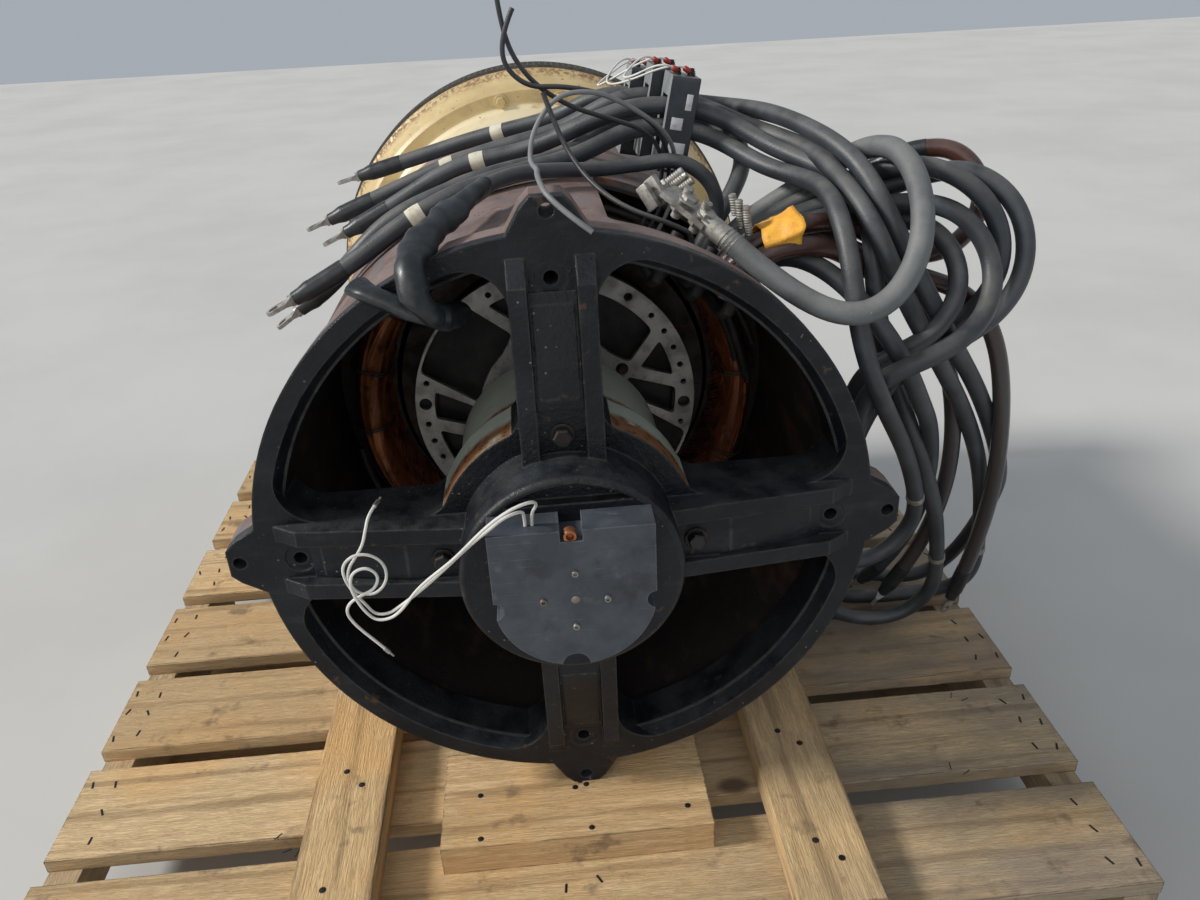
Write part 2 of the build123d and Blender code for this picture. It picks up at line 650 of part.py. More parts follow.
# Routes of the leads in the saved frame. A few end in lugs, and the thin ones are cut off bare.
routes = {
    "lead_a": from_opening(72, -166, [
        (305, -174, 760), (368, -210, 795), (414, -274, 816), (479, -294, 770), (494, -298, 690),
        (447, -275, 626), (373, -268, 589), (354, -265, 509), (347, -233, 432), (340, -199, 356),
        (337, -163, 280), (348, -123, 207), (401, -74, 165), (465, -26, 142), (544, -53, 132),
        (598, -78, 190), (598, -114, 267), (598, -158, 340), (580, -203, 411), (544, -232, 484),
        (500, -265, 551), (451, -303, 612), (401, -310, 682), (360, -328, 756), (341, -269, 818),
        (305, -192, 842), (278, -109, 849), (253, -24, 844), (194, 42, 847), (106, 42, 865),
        (55, 75, 831), (-11, 94, 817), (-77, 113, 802), (-143, 128, 782), (-209, 134, 765),
    ]),
    "lead_b": from_opening(72, -192, [
        (305, -201, 759), (382, -225, 775), (445, -261, 813), (508, -290, 770), (516, -303, 689),
        (453, -333, 646), (380, -317, 610), (348, -297, 537), (353, -269, 459), (348, -235, 383),
        (343, -200, 307), (349, -161, 233), (381, -115, 169), (454, -90, 136), (539, -95, 141),
        (599, -138, 181), (598, -137, 267), (576, -183, 340), (547, -212, 419), (514, -251, 491),
        (467, -288, 556), (414, -294, 626), (370, -337, 689), (336, -333, 770), (319, -255, 805),
        (311, -168, 819), (258, -99, 830), (211, -28, 854), (123, -28, 871), (60, -4, 826),
        (-19, 6, 810), (-98, 9, 791), (-173, 13, 760), (-235, 14, 737),
    ]),
    "lead_c": from_opening(72, -218, [
        (296, -223, 754), (366, -234, 754), (424, -275, 752), (445, -317, 699), (406, -336, 642),
        (344, -312, 617), (325, -308, 546), (331, -283, 477), (333, -261, 406), (336, -236, 336),
        (339, -205, 267), (353, -168, 203), (397, -140, 148), (472, -153, 137), (528, -164, 187),
        (517, -188, 259), (498, -213, 327), (477, -246, 392), (445, -268, 457), (412, -289, 522),
        (385, -289, 592), (353, -307, 658), (342, -323, 731), (344, -273, 787), (314, -203, 787),
        (270, -149, 817), (223, -98, 850), (135, -98, 867), (61, -83, 837), (-9, -57, 807),
        (-90, -50, 803), (-157, -46, 757), (-206, -46, 735),
    ]),
    "lead_d": from_opening(72, -244, [
        (299, -245, 757), (371, -254, 771), (435, -290, 776), (474, -316, 720), (449, -359, 667),
        (386, -385, 646), (335, -352, 612), (333, -330, 548), (342, -307, 488), (354, -283, 433),
        (337, -277, 380), (346, -258, 331), (381, -241, 307), (423, -232, 315), (450, -237, 353),
        (449, -255, 403), (422, -276, 449), (404, -302, 504), (376, -330, 560), (340, -381, 599),
        (312, -379, 668), (307, -356, 740), (304, -299, 792), (302, -222, 774), (262, -157, 795),
        (219, -98, 827), (131, -98, 844), (71, -134, 817), (5, -170, 811), (-66, -195, 801),
        (-134, -210, 773), (-195, -220, 730), (-236, -228, 712),
    ]),
    "lead_e": from_opening(48, -152, [
        (254, -131, 785), (258, -70, 817), (207, -28, 831), (119, -28, 848), (69, -64, 813),
        (37, -129, 811), (-31, -152, 808), (-97, -175, 790), (-165, -182, 766), (-212, -183, 711),
        (-244, -188, 690),
    ]),
    "lead_f": from_opening(48, -180, [
        (208, -181, 784), (171, -176, 814), (122, -170, 809), (73, -179, 808), (28, -203, 815),
        (-12, -235, 820), (-40, -278, 818), (-65, -335, 812), (-83, -385, 805), (-96, -425, 799),
        (-102, -456, 791), (-95, -468, 767), (-83, -452, 745), (-77, -422, 735), (-71, -390, 731),
    ]),
    "lead_g": from_opening(72, -272, [
        (270, -289, 738), (320, -332, 705), (353, -339, 669), (371, -354, 634), (405, -327, 569), (441, -285, 517),
        (466, -249, 455), (478, -218, 387), (480, -189, 318), (474, -149, 254), (457, -98, 184),
    ]),
    "brown_1": from_opening(45, -292, [
        (253, -299, 764), (303, -291, 765), (344, -267, 750), (382, -259, 720), (426, -255, 708),
        (468, -246, 722),
        (493, -230, 758), (488, -205, 800), (453, -178, 817), (410, -155, 795),
    ]),
    "brown_2": from_opening(45, -266, [
        (271, -275, 762), (334, -272, 728), (398, -278, 697), (464, -261, 676), (510, -277, 623),
        (524, -276, 551), (540, -260, 482), (554, -235, 415), (566, -209, 347), (573, -184, 288),
        (572, -166, 237), (567, -152, 187),
    ]),
    "brown_3": from_opening(45, -318, [
        (276, -317, 759), (337, -293, 720), (398, -297, 675), (438, -247, 635), (470, -263, 569),
        (488, -242, 499), (499, -231, 427), (505, -203, 359), (504, -171, 293), (492, -143, 226), (478, -132, 190),
    ]),
    "grey": from_opening(72, -140, [
        (299, -149, 762), (349, -184, 808), (371, -254, 828), (371, -329, 813), (366, -382, 760),
        (306, -403, 721), (239, -372, 725), (191, -330, 763),
    ]),
    "wire_1": from_opening(-22, -139, [
        (154, -157, 815), (131, -181, 847), (91, -199, 863), (48, -210, 879), (10, -214, 907),
        (-12, -215, 948), (-14, -218, 995),
    ]),
    "wire_2": from_opening(-12, -139, [
        (161, -152, 808), (149, -178, 841), (125, -202, 867), (89, -214, 888), (47, -219, 899),
        (5, -221, 900), (-20, -222, 935), (1, -222, 972),
    ]),
    "wire_3": from_opening(-2, -139, [
        (169, -148, 801), (161, -175, 831), (142, -203, 854), (112, -219, 876), (77, -226, 894),
        (37, -232, 893), (12, -246, 864), (6, -279, 842), (9, -319, 841), (12, -359, 846), (11, -400, 847), (19, -441, 835), (53, -448, 809),
    ]),
    "wire_4": from_opening(-5, -318, [
        (135, -333, 783), (97, -327, 797), (71, -300, 811), (52, -270, 830), (36, -247, 859),
        (24, -242, 897),
    ]),
    "white_1": [
        (-23, -514, 571.8), (-23, -514, 584), (-24.7, -525.1, 593.2), (-33.8, -532.1, 595.2),
        (-44.3, -532.2, 589.3), (-52.6, -528.8, 580.5), (-62.4, -527, 572.2), (-71.5, -523.9, 562.9),
        (-80.5, -520.4, 553.1), (-89.3, -516.5, 542.9), (-98.2, -512.3, 532.6), (-107.3, -508, 522.2),
        (-116.6, -503.8, 511.8), (-126.3, -499.7, 501.7), (-136.5, -495.8, 491.7),
        (-147.1, -492.3, 482.2), (-158.2, -489.4, 472.9), (-172.4, -486, 470.8), (-180.3, -484, 483.1),
        (-189, -482.3, 494.9), (-195.1, -480.8, 508.3), (-196.1, -479, 523), (-185.1, -476.7, 532.7),
        (-170.4, -474.9, 531.3), (-159.6, -473.6, 521.1), (-157.2, -472.9, 506.4),
        (-162.4, -472.4, 492.4), (-174.1, -471.7, 483.2), (-188.7, -470.7, 486.2),
        (-195.3, -470.1, 499.6), (-192.8, -470.2, 514.3), (-184, -470.6, 526.4),
        (-175.6, -470.3, 538.7), (-171.2, -467.8, 552.7), (-167.6, -459.9, 564.9),
        (-161.9, -446.3, 567.5),
    ],
    "white_2": [
        (-17, -514, 571.8), (-17, -514, 584), (-10.8, -522.2, 596.8), (-13.7, -532.6, 606.8),
        (-27.4, -538.1, 606.1), (-40.2, -537.4, 598.7), (-51.7, -535.7, 589.5), (-62, -533.1, 579.1),
        (-71.5, -529.6, 568.1), (-80.6, -525.6, 557), (-89.9, -521, 546.2), (-99.6, -516.2, 536),
        (-109.5, -511.3, 525.9), (-119.2, -506.7, 515.5), (-128.5, -502.8, 504.5),
        (-137, -499.8, 492.6), (-145.7, -497.4, 480.7), (-156.8, -495.2, 471.2),
        (-171.2, -492.9, 469.1), (-180.5, -491.6, 480.6), (-185.7, -491.9, 494.3),
        (-189.4, -490.2, 508.4), (-185.3, -489.4, 522.4), (-171.3, -488.4, 526.4),
        (-161.7, -488, 515.4), (-167.3, -488.8, 501.9), (-180.6, -488.9, 495.8), (-193, -487.5, 488.1),
        (-199.2, -484.3, 475), (-194.8, -482.5, 461), (-186.7, -482.1, 448.6), (-177.4, -482.4, 437.1),
        (-168.6, -482.3, 425.1),
    ],
}
diameters = {"grey": grey_cable, "lead_f": 16.0}
lug_names = ["lead_a", "lead_b", "lead_c", "lead_d", "lead_e", "lead_g",
             "brown_1", "brown_2", "brown_3"]
hung_on = {
    "ct_front": ("lead_c", (179, -98, 858.5)),
    "ct_middle": ("lead_b", (167, -28, 862.5)),
    "ct_back": ("lead_a", (150, 42, 856)),
}


def diameter(name):
    """The outer diameter of one lead."""
    if name.startswith("wire"):
        return thin_wire
    if name.startswith("white"):
        return white_wire
    return diameters.get(name, heavy_lead)


def cord_tube(name):
    """One lead: straight runs joined by tangent arcs, each as large as its two runs allow."""
    points = [Vector(*p) for p in routes[name]]
    runs = [b - a for a, b in zip(points, points[1:])]
    radii = [arc_share * min(a.length, b.length) / tan(radians(a.get_angle(b)) / 2)
             for a, b in zip(runs, runs[1:])]
    path = FilletPolyline(*points, radius=radii)
    section = Plane(origin=points[0], z_dir=runs[0]) * Circle(diameter(name) / 2)
    cord = sweep(section, path=path)
    expected = section.area * path.length
    print(f"{name} length {path.length:.0f} least radius {min(radii):.0f} in diameters "
          f"{min(radii) / diameter(name):.1f} volume ratio {cord.volume / expected:.4f}")
    return cord


def end_plane(name):
    """A plane on the far end of a lead, pointing out along it and lying as flat as it can."""
    before, end = [Vector(*p) for p in routes[name][-2:]]
    out = end - before
    return Plane(origin=end, x_dir=out.cross(Vector(0, 0, 1)), z_dir=out)


def lug():
    """One cable lug: a barrel, and a flat tongue with its bolt hole."""
    barrel = Pos(0, 0, lug_barrel_length / 2) * Cylinder(lug_barrel_radius, lug_barrel_length)
    overlap = lug_tongue_thickness
    tongue = Pos(0, 0, lug_barrel_length - overlap + lug_tongue_length / 2) * Box(
        lug_tongue_width, lug_tongue_thickness, lug_tongue_length)
    tongue = fillet(tongue.edges().filter_by(Axis.Y).group_by(Axis.Z)[-1],
                    lug_tongue_width / 2 - lug_tongue_thickness)
    hole_z = lug_barrel_length + lug_tongue_length - overlap - lug_tongue_width / 2
    hole = Pos(0, 0, hole_z) * Rot(90, 0, 0) * Cylinder(lug_hole_radius, lug_tongue_width)
    return barrel + tongue - hole


def cable_lugs():
    """The lugs on the ends of the black and brown leads."""
    return Compound(children=[end_plane(name) * lug() for name in lug_names])


def grey_connector():
    """The connector on the grey cable: a barrel and a plate with its clamping bolts."""
    barrel_end = connector_barrel_length
    body = Pos(0, 0, barrel_end / 2) * Cylinder(connector_barrel_radius, barrel_end)
    body += Pos(0, 0, barrel_end + connector_plate_length / 2 - connector_plate_thickness) * Box(
        connector_plate_width, connector_plate_thickness, connector_plate_length)
    for i in range(2):
        bolt_z = barrel_end + connector_bolt_pitch * (i + 0.5) - connector_plate_thickness
        shank = Rot(90, 0, 0) * Cylinder(connector_bolt_radius, connector_bolt_length)
        head = Pos(0, connector_plate_thickness, 0) * Rot(90, 0, 0) * extrude(
            RegularPolygon(connector_head_radius, 6), connector_head_height / 2, both=True)
        body += Pos(0, 0, bolt_z) * (shank + head)
    return end_plane("grey") * body


def current_transformer(name):
    """One boxed current transformer, hung by its window on the nearest run of its lead."""
    lead, place = hung_on[name]
    points = [Vector(*p) for p in routes[lead]]
    middles = [(a + b) / 2 for a, b in zip(points, points[1:])]
    middle = min(middles, key=lambda point: (point - Vector(*place)).length)
    body = Box(ct_thickness, ct_width, ct_height)
    body = fillet(body.edges().filter_by(Axis.X), ct_corner)
    body -= Box(ct_thickness + 1, ct_window_width, ct_window_height)
    drop = ct_window_height / 2 - diameter(lead) / 2 - ct_lead_gap
    return Pos(middle) * Rot(0, ct_tilt, 0) * Pos(0, 0, -drop) * body


def build():
    os.makedirs("parts", exist_ok=True)
    save(deck_boards(), "deck_boards")
    save(stringers(), "stringers")
    save(bottom_boards(), "bottom_boards")
    save(rail(left_rail_x), "rail_left")
    save(rail(right_rail_x), "rail_right")
    save(front_block(), "front_block")
    save(rear_shim(), "rear_shim")
    save(on_shaft(bracket_casting()), "end_bracket")
    save(on_shaft(end_cover()), "end_cover")
    save(on_shaft(exciter_housing()), "exciter_housing")
    save(on_shaft(stator_shell()), "stator_shell")
    save(on_shaft(stator_core()), "stator_core")
    save(on_shaft(end_winding(core_front, core_front - winding_length)), "front_winding")
    save(on_shaft(end_winding(core_rear, core_rear + winding_length)), "rear_winding")
    save(on_shaft(lead_bundle()), "lead_bundle")
    save(on_shaft(adapter_casting()), "engine_adapter")
    save(on_shaft(vent_screen()), "vent_screen")
    save(on_shaft(shaft()), "shaft")
    save(on_shaft(balance_ring()), "balance_ring")
    save(on_shaft(end_disc()), "rotor_end_disc")
    save(on_shaft(rotor_core()), "rotor_core")
    save(on_shaft(fan()), "fan")
    save(on_shaft(coupling_discs()), "coupling_discs")
    for name in hung_on:
        export_step(current_transformer(name), f"parts/{name}.step")
    export_step(cable_lugs(), "parts/cable_lugs.step")
    export_step(grey_connector(), "parts/grey_connector.step")
    for name in routes:
        export_step(cord_tube(name), f"parts/{name}.step")
    print("deck_top", deck_top, "shaft_z", shaft_z, "middle_y", middle_y, "disc_rear", disc_rear)


build()
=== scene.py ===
"""How the generator end looks: its finishes, leads, coils, bolts and small fittings.

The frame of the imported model. The shaft lies along Y, the open end bracket faces -Y and the
engine end +Y. Angles round the shaft are in degrees, clockwise from the top as seen from the
open end. Blender's places are in metres. Finishes, profiles, sections and bolts are in
millimetres, and MM or MILLIMETRES turns them into metres.
"""
from math import copysign, cos, pi, radians, sin

import bmesh
import bpy
from mathutils import Matrix, Vector, noise


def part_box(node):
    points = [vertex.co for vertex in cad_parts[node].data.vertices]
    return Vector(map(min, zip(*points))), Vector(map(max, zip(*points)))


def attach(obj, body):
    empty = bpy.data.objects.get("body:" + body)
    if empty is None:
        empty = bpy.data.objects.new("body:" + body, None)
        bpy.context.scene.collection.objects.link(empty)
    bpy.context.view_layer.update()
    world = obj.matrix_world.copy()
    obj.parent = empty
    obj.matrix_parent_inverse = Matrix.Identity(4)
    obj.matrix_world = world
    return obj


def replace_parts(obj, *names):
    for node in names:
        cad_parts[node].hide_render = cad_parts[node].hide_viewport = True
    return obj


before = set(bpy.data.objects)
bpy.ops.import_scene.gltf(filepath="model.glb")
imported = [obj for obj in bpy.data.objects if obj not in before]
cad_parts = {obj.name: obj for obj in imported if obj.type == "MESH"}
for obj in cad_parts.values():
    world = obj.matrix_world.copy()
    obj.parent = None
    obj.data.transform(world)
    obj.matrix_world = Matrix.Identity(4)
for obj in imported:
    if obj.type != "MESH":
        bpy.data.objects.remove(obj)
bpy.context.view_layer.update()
MM = 0.001
MILLIMETRES = Matrix.Scale(MM, 4)
UP = (0, 0, 1)

disc_low, disc_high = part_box("coupling_discs")
SHAFT_X = (disc_low[0] + disc_high[0]) / 2
SHAFT_Z = (disc_low[2] + disc_high[2]) / 2
DECK_LOW, DECK_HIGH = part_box("deck_boards")
BOARD_PITCH = 170.3 * MM
BOARD_WIDTH = 138 * MM
RIM_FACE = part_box("stator_shell")[0][1] - 16 * MM
ADAPTER_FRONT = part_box("engine_adapter")[0][1]
QUARTERS = (0, 90, 180, 270)


def at(x, y, z):
    """A move in millimetres."""
    return Matrix.Translation(Vector((x, y, z)) * MM)


def spun(angle, axis):
    return Matrix.Rotation(radians(angle), 4, axis)


def around(radius, angle, y):
    """A point at a radius in millimetres and an angle from the top, with its Y in metres."""
    return Vector((SHAFT_X + radius * MM * sin(radians(angle)), y,
                   SHAFT_Z + radius * MM * cos(radians(angle))))


def facing_out(radius, angle, y):
    """A place on the outside of the shell, with its own Z out of it."""
    return Matrix.Translation(around(radius, angle, y)) @ spun(angle, "Y")


def facing_front(radius, angle, y):
    """A place on a face that looks towards -Y, with its own Z out of that face."""
    return facing_out(radius, angle, y) @ spun(90, "X")


def jitter(x, y, z):
    """Three smooth random numbers for a place, the same each run."""
    return Vector([noise.noise((x + shift, y - shift, z + 2 * shift)) for shift in (9.3, 27.1, 48.7)])


# Finishes


class Finish:
    """A node material made of a base and layers of paint, dust and wear over it."""

    def __init__(self, name, colour, roughness=0.5, metallic=0.0, specular=0.5):
        self.material = bpy.data.materials.new(name)
        self.material.use_nodes = True
        self.tree = self.material.node_tree
        self.shader = self.tree.nodes["Principled BSDF"]
        self.colour, self.rough, self.normal = (*colour, 1), roughness, None
        for socket, value in (("Metallic", metallic), ("Roughness", roughness),
                              ("Specular IOR Level", specular), ("Base Color", self.colour)):
            self.shader.inputs[socket].default_value = value
        self.place = self.node("TexCoord").outputs["Object"]

    def feed(self, socket, value):
        """Link a socket to another node's output, or set it to a plain value."""
        if isinstance(value, bpy.types.NodeSocket):
            self.tree.links.new(value, socket)
        else:
            socket.default_value = value

    def node(self, kind, inputs=(), **settings):
        """A new node with its settings and what goes into its sockets."""
        node = self.tree.nodes.new("ShaderNode" + kind)
        for name, value in settings.items():
            setattr(node, name, value)
        for socket, value in dict(inputs).items():
            self.feed(node.inputs[socket], value)
        return node

    def stretched(self, stretch, shift=0.0):
        """The coordinates with each axis scaled, so that a pattern is drawn out along one."""
        return self.node("Mapping", {"Scale": stretch, "Vector": self.place, "Location": (
            shift, shift * 0.7, shift * 1.3)}).outputs["Vector"]

    def ramp(self, value, low, high):
        """A factor that rises from 0 at low to 1 at high."""
        return self.node("MapRange", {"From Min": low, "From Max": high, "Value": value},
                         interpolation_type="SMOOTHSTEP").outputs["Result"]

    def blotches(self, size, low=0.45, high=0.6, detail=5.0, stretch=(1, 1, 1), shift=0.0):
        """Noise with features of about that size, cut between two levels."""
        noisy = self.node("TexNoise", {"Scale": 1 / (size * MM), "Detail": detail, "Roughness": 0.6,
                                       "Vector": self.stretched(stretch, shift)})
        return self.ramp(noisy.outputs["Fac"], low, high)

    def cells(self, size, low, high, stretch=(1, 1, 1), shift=0.0):
        """Round spots about that far apart: 1 at the middle of a spot and 0 outside it."""
        spots = self.node("TexVoronoi", {"Scale": 1 / (size * MM),
                                         "Vector": self.stretched(stretch, shift)})
        return self.ramp(spots.outputs["Distance"], high, low)

    def along(self, axis):
        """The place along an axis, in metres."""
        return self.node("SeparateXYZ", {0: self.place}).outputs[axis]

    def between(self, axis, start, end, blur):
        """1 between two places in metres along an axis, with soft ends."""
        value = self.along(axis)
        return self.times(self.ramp(value, start - blur, start + blur),
                          self.ramp(value, end + blur, end - blur))

    def vector(self, operation, inputs, output="Value"):
        return self.node("VectorMath", inputs, operation=operation).outputs[output]

    def facing(self, axis, low, high):
        """1 where the surface looks along an axis, 0 where it looks away."""
        normal = self.node("NewGeometry").outputs["Normal"]
        return self.ramp(self.vector("DOT_PRODUCT", {0: normal, 1: axis}), low, high)

    def from_shaft(self, low, high):
        """A factor that rises with the distance from the shaft, in metres."""
        flat = self.vector("MULTIPLY_ADD", {0: self.place, 1: (1, 0, 1), 2: (-SHAFT_X, 0, -SHAFT_Z)},
                           "Vector")
        return self.ramp(self.vector("LENGTH", {0: flat}), low, high)

    def bevelled(self, radius):
        return self.node("Bevel", {"Radius": radius * MM}, samples=4).outputs["Normal"]

    def edges(self, radius):
        """1 on edges and corners, where paint wears, and 0 on flat surfaces."""
        normal = self.node("NewGeometry").outputs["Normal"]
        return self.ramp(self.vector("DISTANCE", {0: self.bevelled(radius), 1: normal}), 0.03, 0.22)

    def rounded(self, radius):
        """Shade the edges as if they were rounded to that radius."""
        self.normal = self.bevelled(radius)
        return self

    def math(self, operation, a, b=0.5):
        return self.node("Math", {0: a, 1: b}, operation=operation).outputs[0]

    def times(self, *factors):
        """The product of factors, any of which may be a plain number."""
        product = factors[0]
        for factor in factors[1:]:
            if factor != 1:
                product = self.math("MULTIPLY", product, factor)
        return product

    def paint(self, colour, *factors):
        """Lay a colour over what is there, by the product of factors."""
        self.colour = self.node("Mix", {6: self.colour, 7: (*colour, 1), 0: self.times(*factors)},
                                data_type="RGBA").outputs[2]
        return self

    def patches(self, colour, amount, *noise_levels, on=None, **more):
        """Lay a colour in blotches, by an amount and where another factor lets it."""
        return self.paint(colour, self.blotches(*noise_levels, **more), *([on] if on else []), amount)

    def sheen(self, roughness, factor):
        """Change the roughness, by a factor."""
        self.rough = self.node("Mix", {2: self.rough, 3: roughness, 0: factor}).outputs[0]
        return self

    def relief(self, factor, depth, strength=1.0):
        """Raise the surface by a factor, to a depth."""
        bump = self.node("Bump", {"Distance": depth * MM, "Strength": strength, "Height": factor})
        if self.normal is not None:
            self.feed(bump.inputs["Normal"], self.normal)
        self.normal = bump.outputs["Normal"]
        return self

    def grain(self, size, depth, strength, low=0.3, high=0.7, detail=3.0):
        """Fine noise that raises the surface all over."""
        return self.relief(self.blotches(size, low, high, detail), depth, strength)

    def done(self):
        for socket, value in (("Base Color", self.colour), ("Roughness", self.rough),
                              ("Normal", self.normal)):
            if value is not None:
                self.feed(self.shader.inputs[socket], value)
        return self.material


DUST = (0.30, 0.28, 0.25)
RUST = (0.11, 0.045, 0.022)


def scaled(colour, share):
    """A colour made darker or lighter."""
    return [min(1, c * share) for c in colour]


def timber(name, along, light, dark, grey_and_shaded_side=0.0):
    """Rough sawn softwood with its grain along one axis, knots, saw marks, and grey weathering mixed with
    painted shade towards +X.
    """
    finish = Finish(name, light, 0.72).rounded(2)

    def drawn(over, under):
        stretch = [over] * 3
        stretch[along] = under
        return stretch

    grained = drawn(9.0, 0.55)
    fine = finish.blotches(14, 0.38, 0.66, 6, grained, 3.0)
    hair = finish.blotches(4, 0.42, 0.62, 3, grained, 7.0)
    finish.patches(dark, 0.70, 60, 0.35, 0.68, 6, grained)
    finish.paint(scaled(dark, 0.55), fine, 0.50)
    finish.paint(scaled(light, 1.18), hair, 0.45)
    finish.patches((light[0], light[1] * 0.80, light[2] * 0.55), 0.55, 210, 0.48, 0.66, 5, shift=8.0)
    rings = finish.node("TexWave", {"Scale": 7.0, "Distortion": 9.0, "Detail": 4.0, "Detail Scale": 0.7,
                                    "Vector": finish.stretched(drawn(1.0, 0.16), 1.7)},
                        bands_direction="XYZ"[1 - along])
    finish.paint(scaled(dark, 0.55), finish.ramp(rings.outputs["Fac"], 0.70, 0.98),
                 finish.blotches(120, 0.35, 0.60, 4, grained, 5.5), 0.65)
    finish.paint((0.16, 0.085, 0.04), finish.cells(190, 0.035, 0.085, drawn(1.0, 0.62), 2.3))
    if along == 0:
        board = finish.math("FLOOR", finish.math("DIVIDE", finish.math(
            "SUBTRACT", finish.along("Y"), DECK_LOW[1]), BOARD_PITCH))
        tone = finish.node("TexWhiteNoise", {"W": board}, noise_dimensions="1D")
        finish.paint(scaled(dark, 0.74), finish.ramp(tone.outputs["Value"], 0.0, 1.0), 0.45)
    # Grey weathering and painted shade: the wood turns greyer and darker towards +X, the side in the
    # machine's shadow, by the share given last.
    finish.paint((0.19, 0.175, 0.155), finish.ramp(finish.along("X"), 0.02, 0.42),
                 finish.blotches(160, 0.25, 0.62, 6, (0.6, 1.4, 1)), grey_and_shaded_side)
    finish.patches((0.09, 0.065, 0.045), 0.60, 45, 0.57, 0.72, 8, shift=5.0)
    finish.paint((0.05, 0.035, 0.022), finish.edges(2.5), finish.blotches(25, 0.40, 0.60, 6, grained, 15.0))
    return finish.relief(fine, 0.9, 0.7).relief(hair, 0.4, 0.6).done()


def black_casting():
    """Black paint on cast iron: satin, pitted, dusty where it looks up with a painted blue sheen there too,
    rubbed brown at places.
    """
    finish = Finish("black_casting", (0.004, 0.005, 0.008), 0.36, specular=0.30).rounded(2.5)
    # Blue-grey on the upward faces: partly dust, partly a painted sheen of the sky on the sunlit tops.
    dust = finish.times(finish.facing(UP, 0.25, 0.95), finish.blotches(34, 0.25, 0.70, 8))
    finish.patches((0.009, 0.012, 0.017), 1, 70, 0.40, 0.68, 7)
    finish.paint((0.085, 0.090, 0.094), dust, 0.35)
    finish.paint((0.055, 0.055, 0.055), finish.facing((0, -1, 0), 0.6, 1.0),
                 finish.blotches(26, 0.52, 0.78, 8, (0.35, 1, 1.3), 4.0), 0.30)
    finish.paint((0.16, 0.155, 0.145), finish.cells(11, 0.05, 0.13),
                 finish.blotches(80, 0.45, 0.60, 4, shift=21.0))
    finish.patches((0.085, 0.045, 0.025), 0.7, 18, 0.63, 0.72, 8, shift=9.0)
    finish.paint((0.11, 0.105, 0.095), finish.edges(2.5), finish.blotches(14, 0.30, 0.58, 8, shift=12.0),
                 0.40)
    hub = finish.times(finish.between(1, RIM_FACE - 2 * MM, 1, 2 * MM), finish.from_shaft(0.1297, 0.1289))
    finish.paint((0.42, 0.46, 0.385), hub)
    band = finish.times(finish.between(1, -1, RIM_FACE + 28 * MM, 7 * MM), hub,
                        finish.blotches(22, 0.28, 0.46, 9, shift=3.0))
    finish.paint((0.26, 0.12, 0.055), band)
    finish.paint(RUST, band, finish.blotches(9, 0.5, 0.62, 6, shift=8.0))
    finish.sheen(0.68, dust)
    finish.sheen(0.27, finish.blotches(90, 0.52, 0.70, 4, shift=2.0))
    return finish.grain(5, 0.5, 0.55, 0.30, 0.72, 4).grain(1.5, 0.2, 0.5, detail=2).done()


def cover_paint():
    """The blue-black cap, scuffed pale in short strokes and dusty in patches."""
    finish = Finish("cover_paint", (0.040, 0.047, 0.058), 0.40).rounded(1.5)
    finish.patches((0.070, 0.080, 0.097), 1, 45, 0.35, 0.68, 6)
    finish.patches((0.016, 0.018, 0.022), 0.8, 60, 0.52, 0.70, 6, shift=6.0)
    for turn, shift in ((0.6, 1.0), (-0.9, 8.0), (1.3, 5.0)):
        stroke = finish.node("Mapping", {"Rotation": (0, turn, 0), "Scale": (16, 60, 700),
                                         "Location": (shift, 0, shift), "Vector": finish.place})
        lines = finish.node("TexNoise", {"Scale": 1.0, "Detail": 3.0, "Vector": stroke.outputs["Vector"]})
        finish.paint((0.17, 0.18, 0.20), finish.ramp(lines.outputs["Fac"], 0.66, 0.74),
                     finish.blotches(30, 0.45, 0.65, 4, shift=shift), 0.6)
    finish.patches((0.17, 0.17, 0.165), 0.35, 22, 0.58, 0.75, 8, shift=3.0)
    finish.paint((0.22, 0.23, 0.24), finish.edges(1.5), finish.blotches(10, 0.3, 0.55, 6, shift=7.0), 0.5)
    finish.sheen(0.62, finish.blotches(30, 0.40, 0.65, 6, shift=2.0))
    return finish.grain(2, 0.15, 0.5).done()


def green_paint():
    """Sage green paint with dust, and rust round the flange."""
    finish = Finish("green_paint", (0.45, 0.50, 0.42), 0.45)
    finish.patches((0.54, 0.56, 0.47), 1, 50, 0.35, 0.7, 5)
    finish.patches((0.22, 0.24, 0.20), 0.6, 80, 0.5, 0.75, 5, shift=4.0)
    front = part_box("exciter_housing")[0][1]
    rust = finish.times(finish.between(1, front - 1 * MM, front + 42 * MM, 6 * MM),
                        finish.blotches(26, 0.30, 0.48, 9))
    finish.paint((0.28, 0.125, 0.055), rust)
    finish.paint(RUST, rust, finish.blotches(9, 0.5, 0.62, 6, shift=8.0))
    return finish.sheen(0.85, rust).relief(rust, 0.6, 0.7).done()


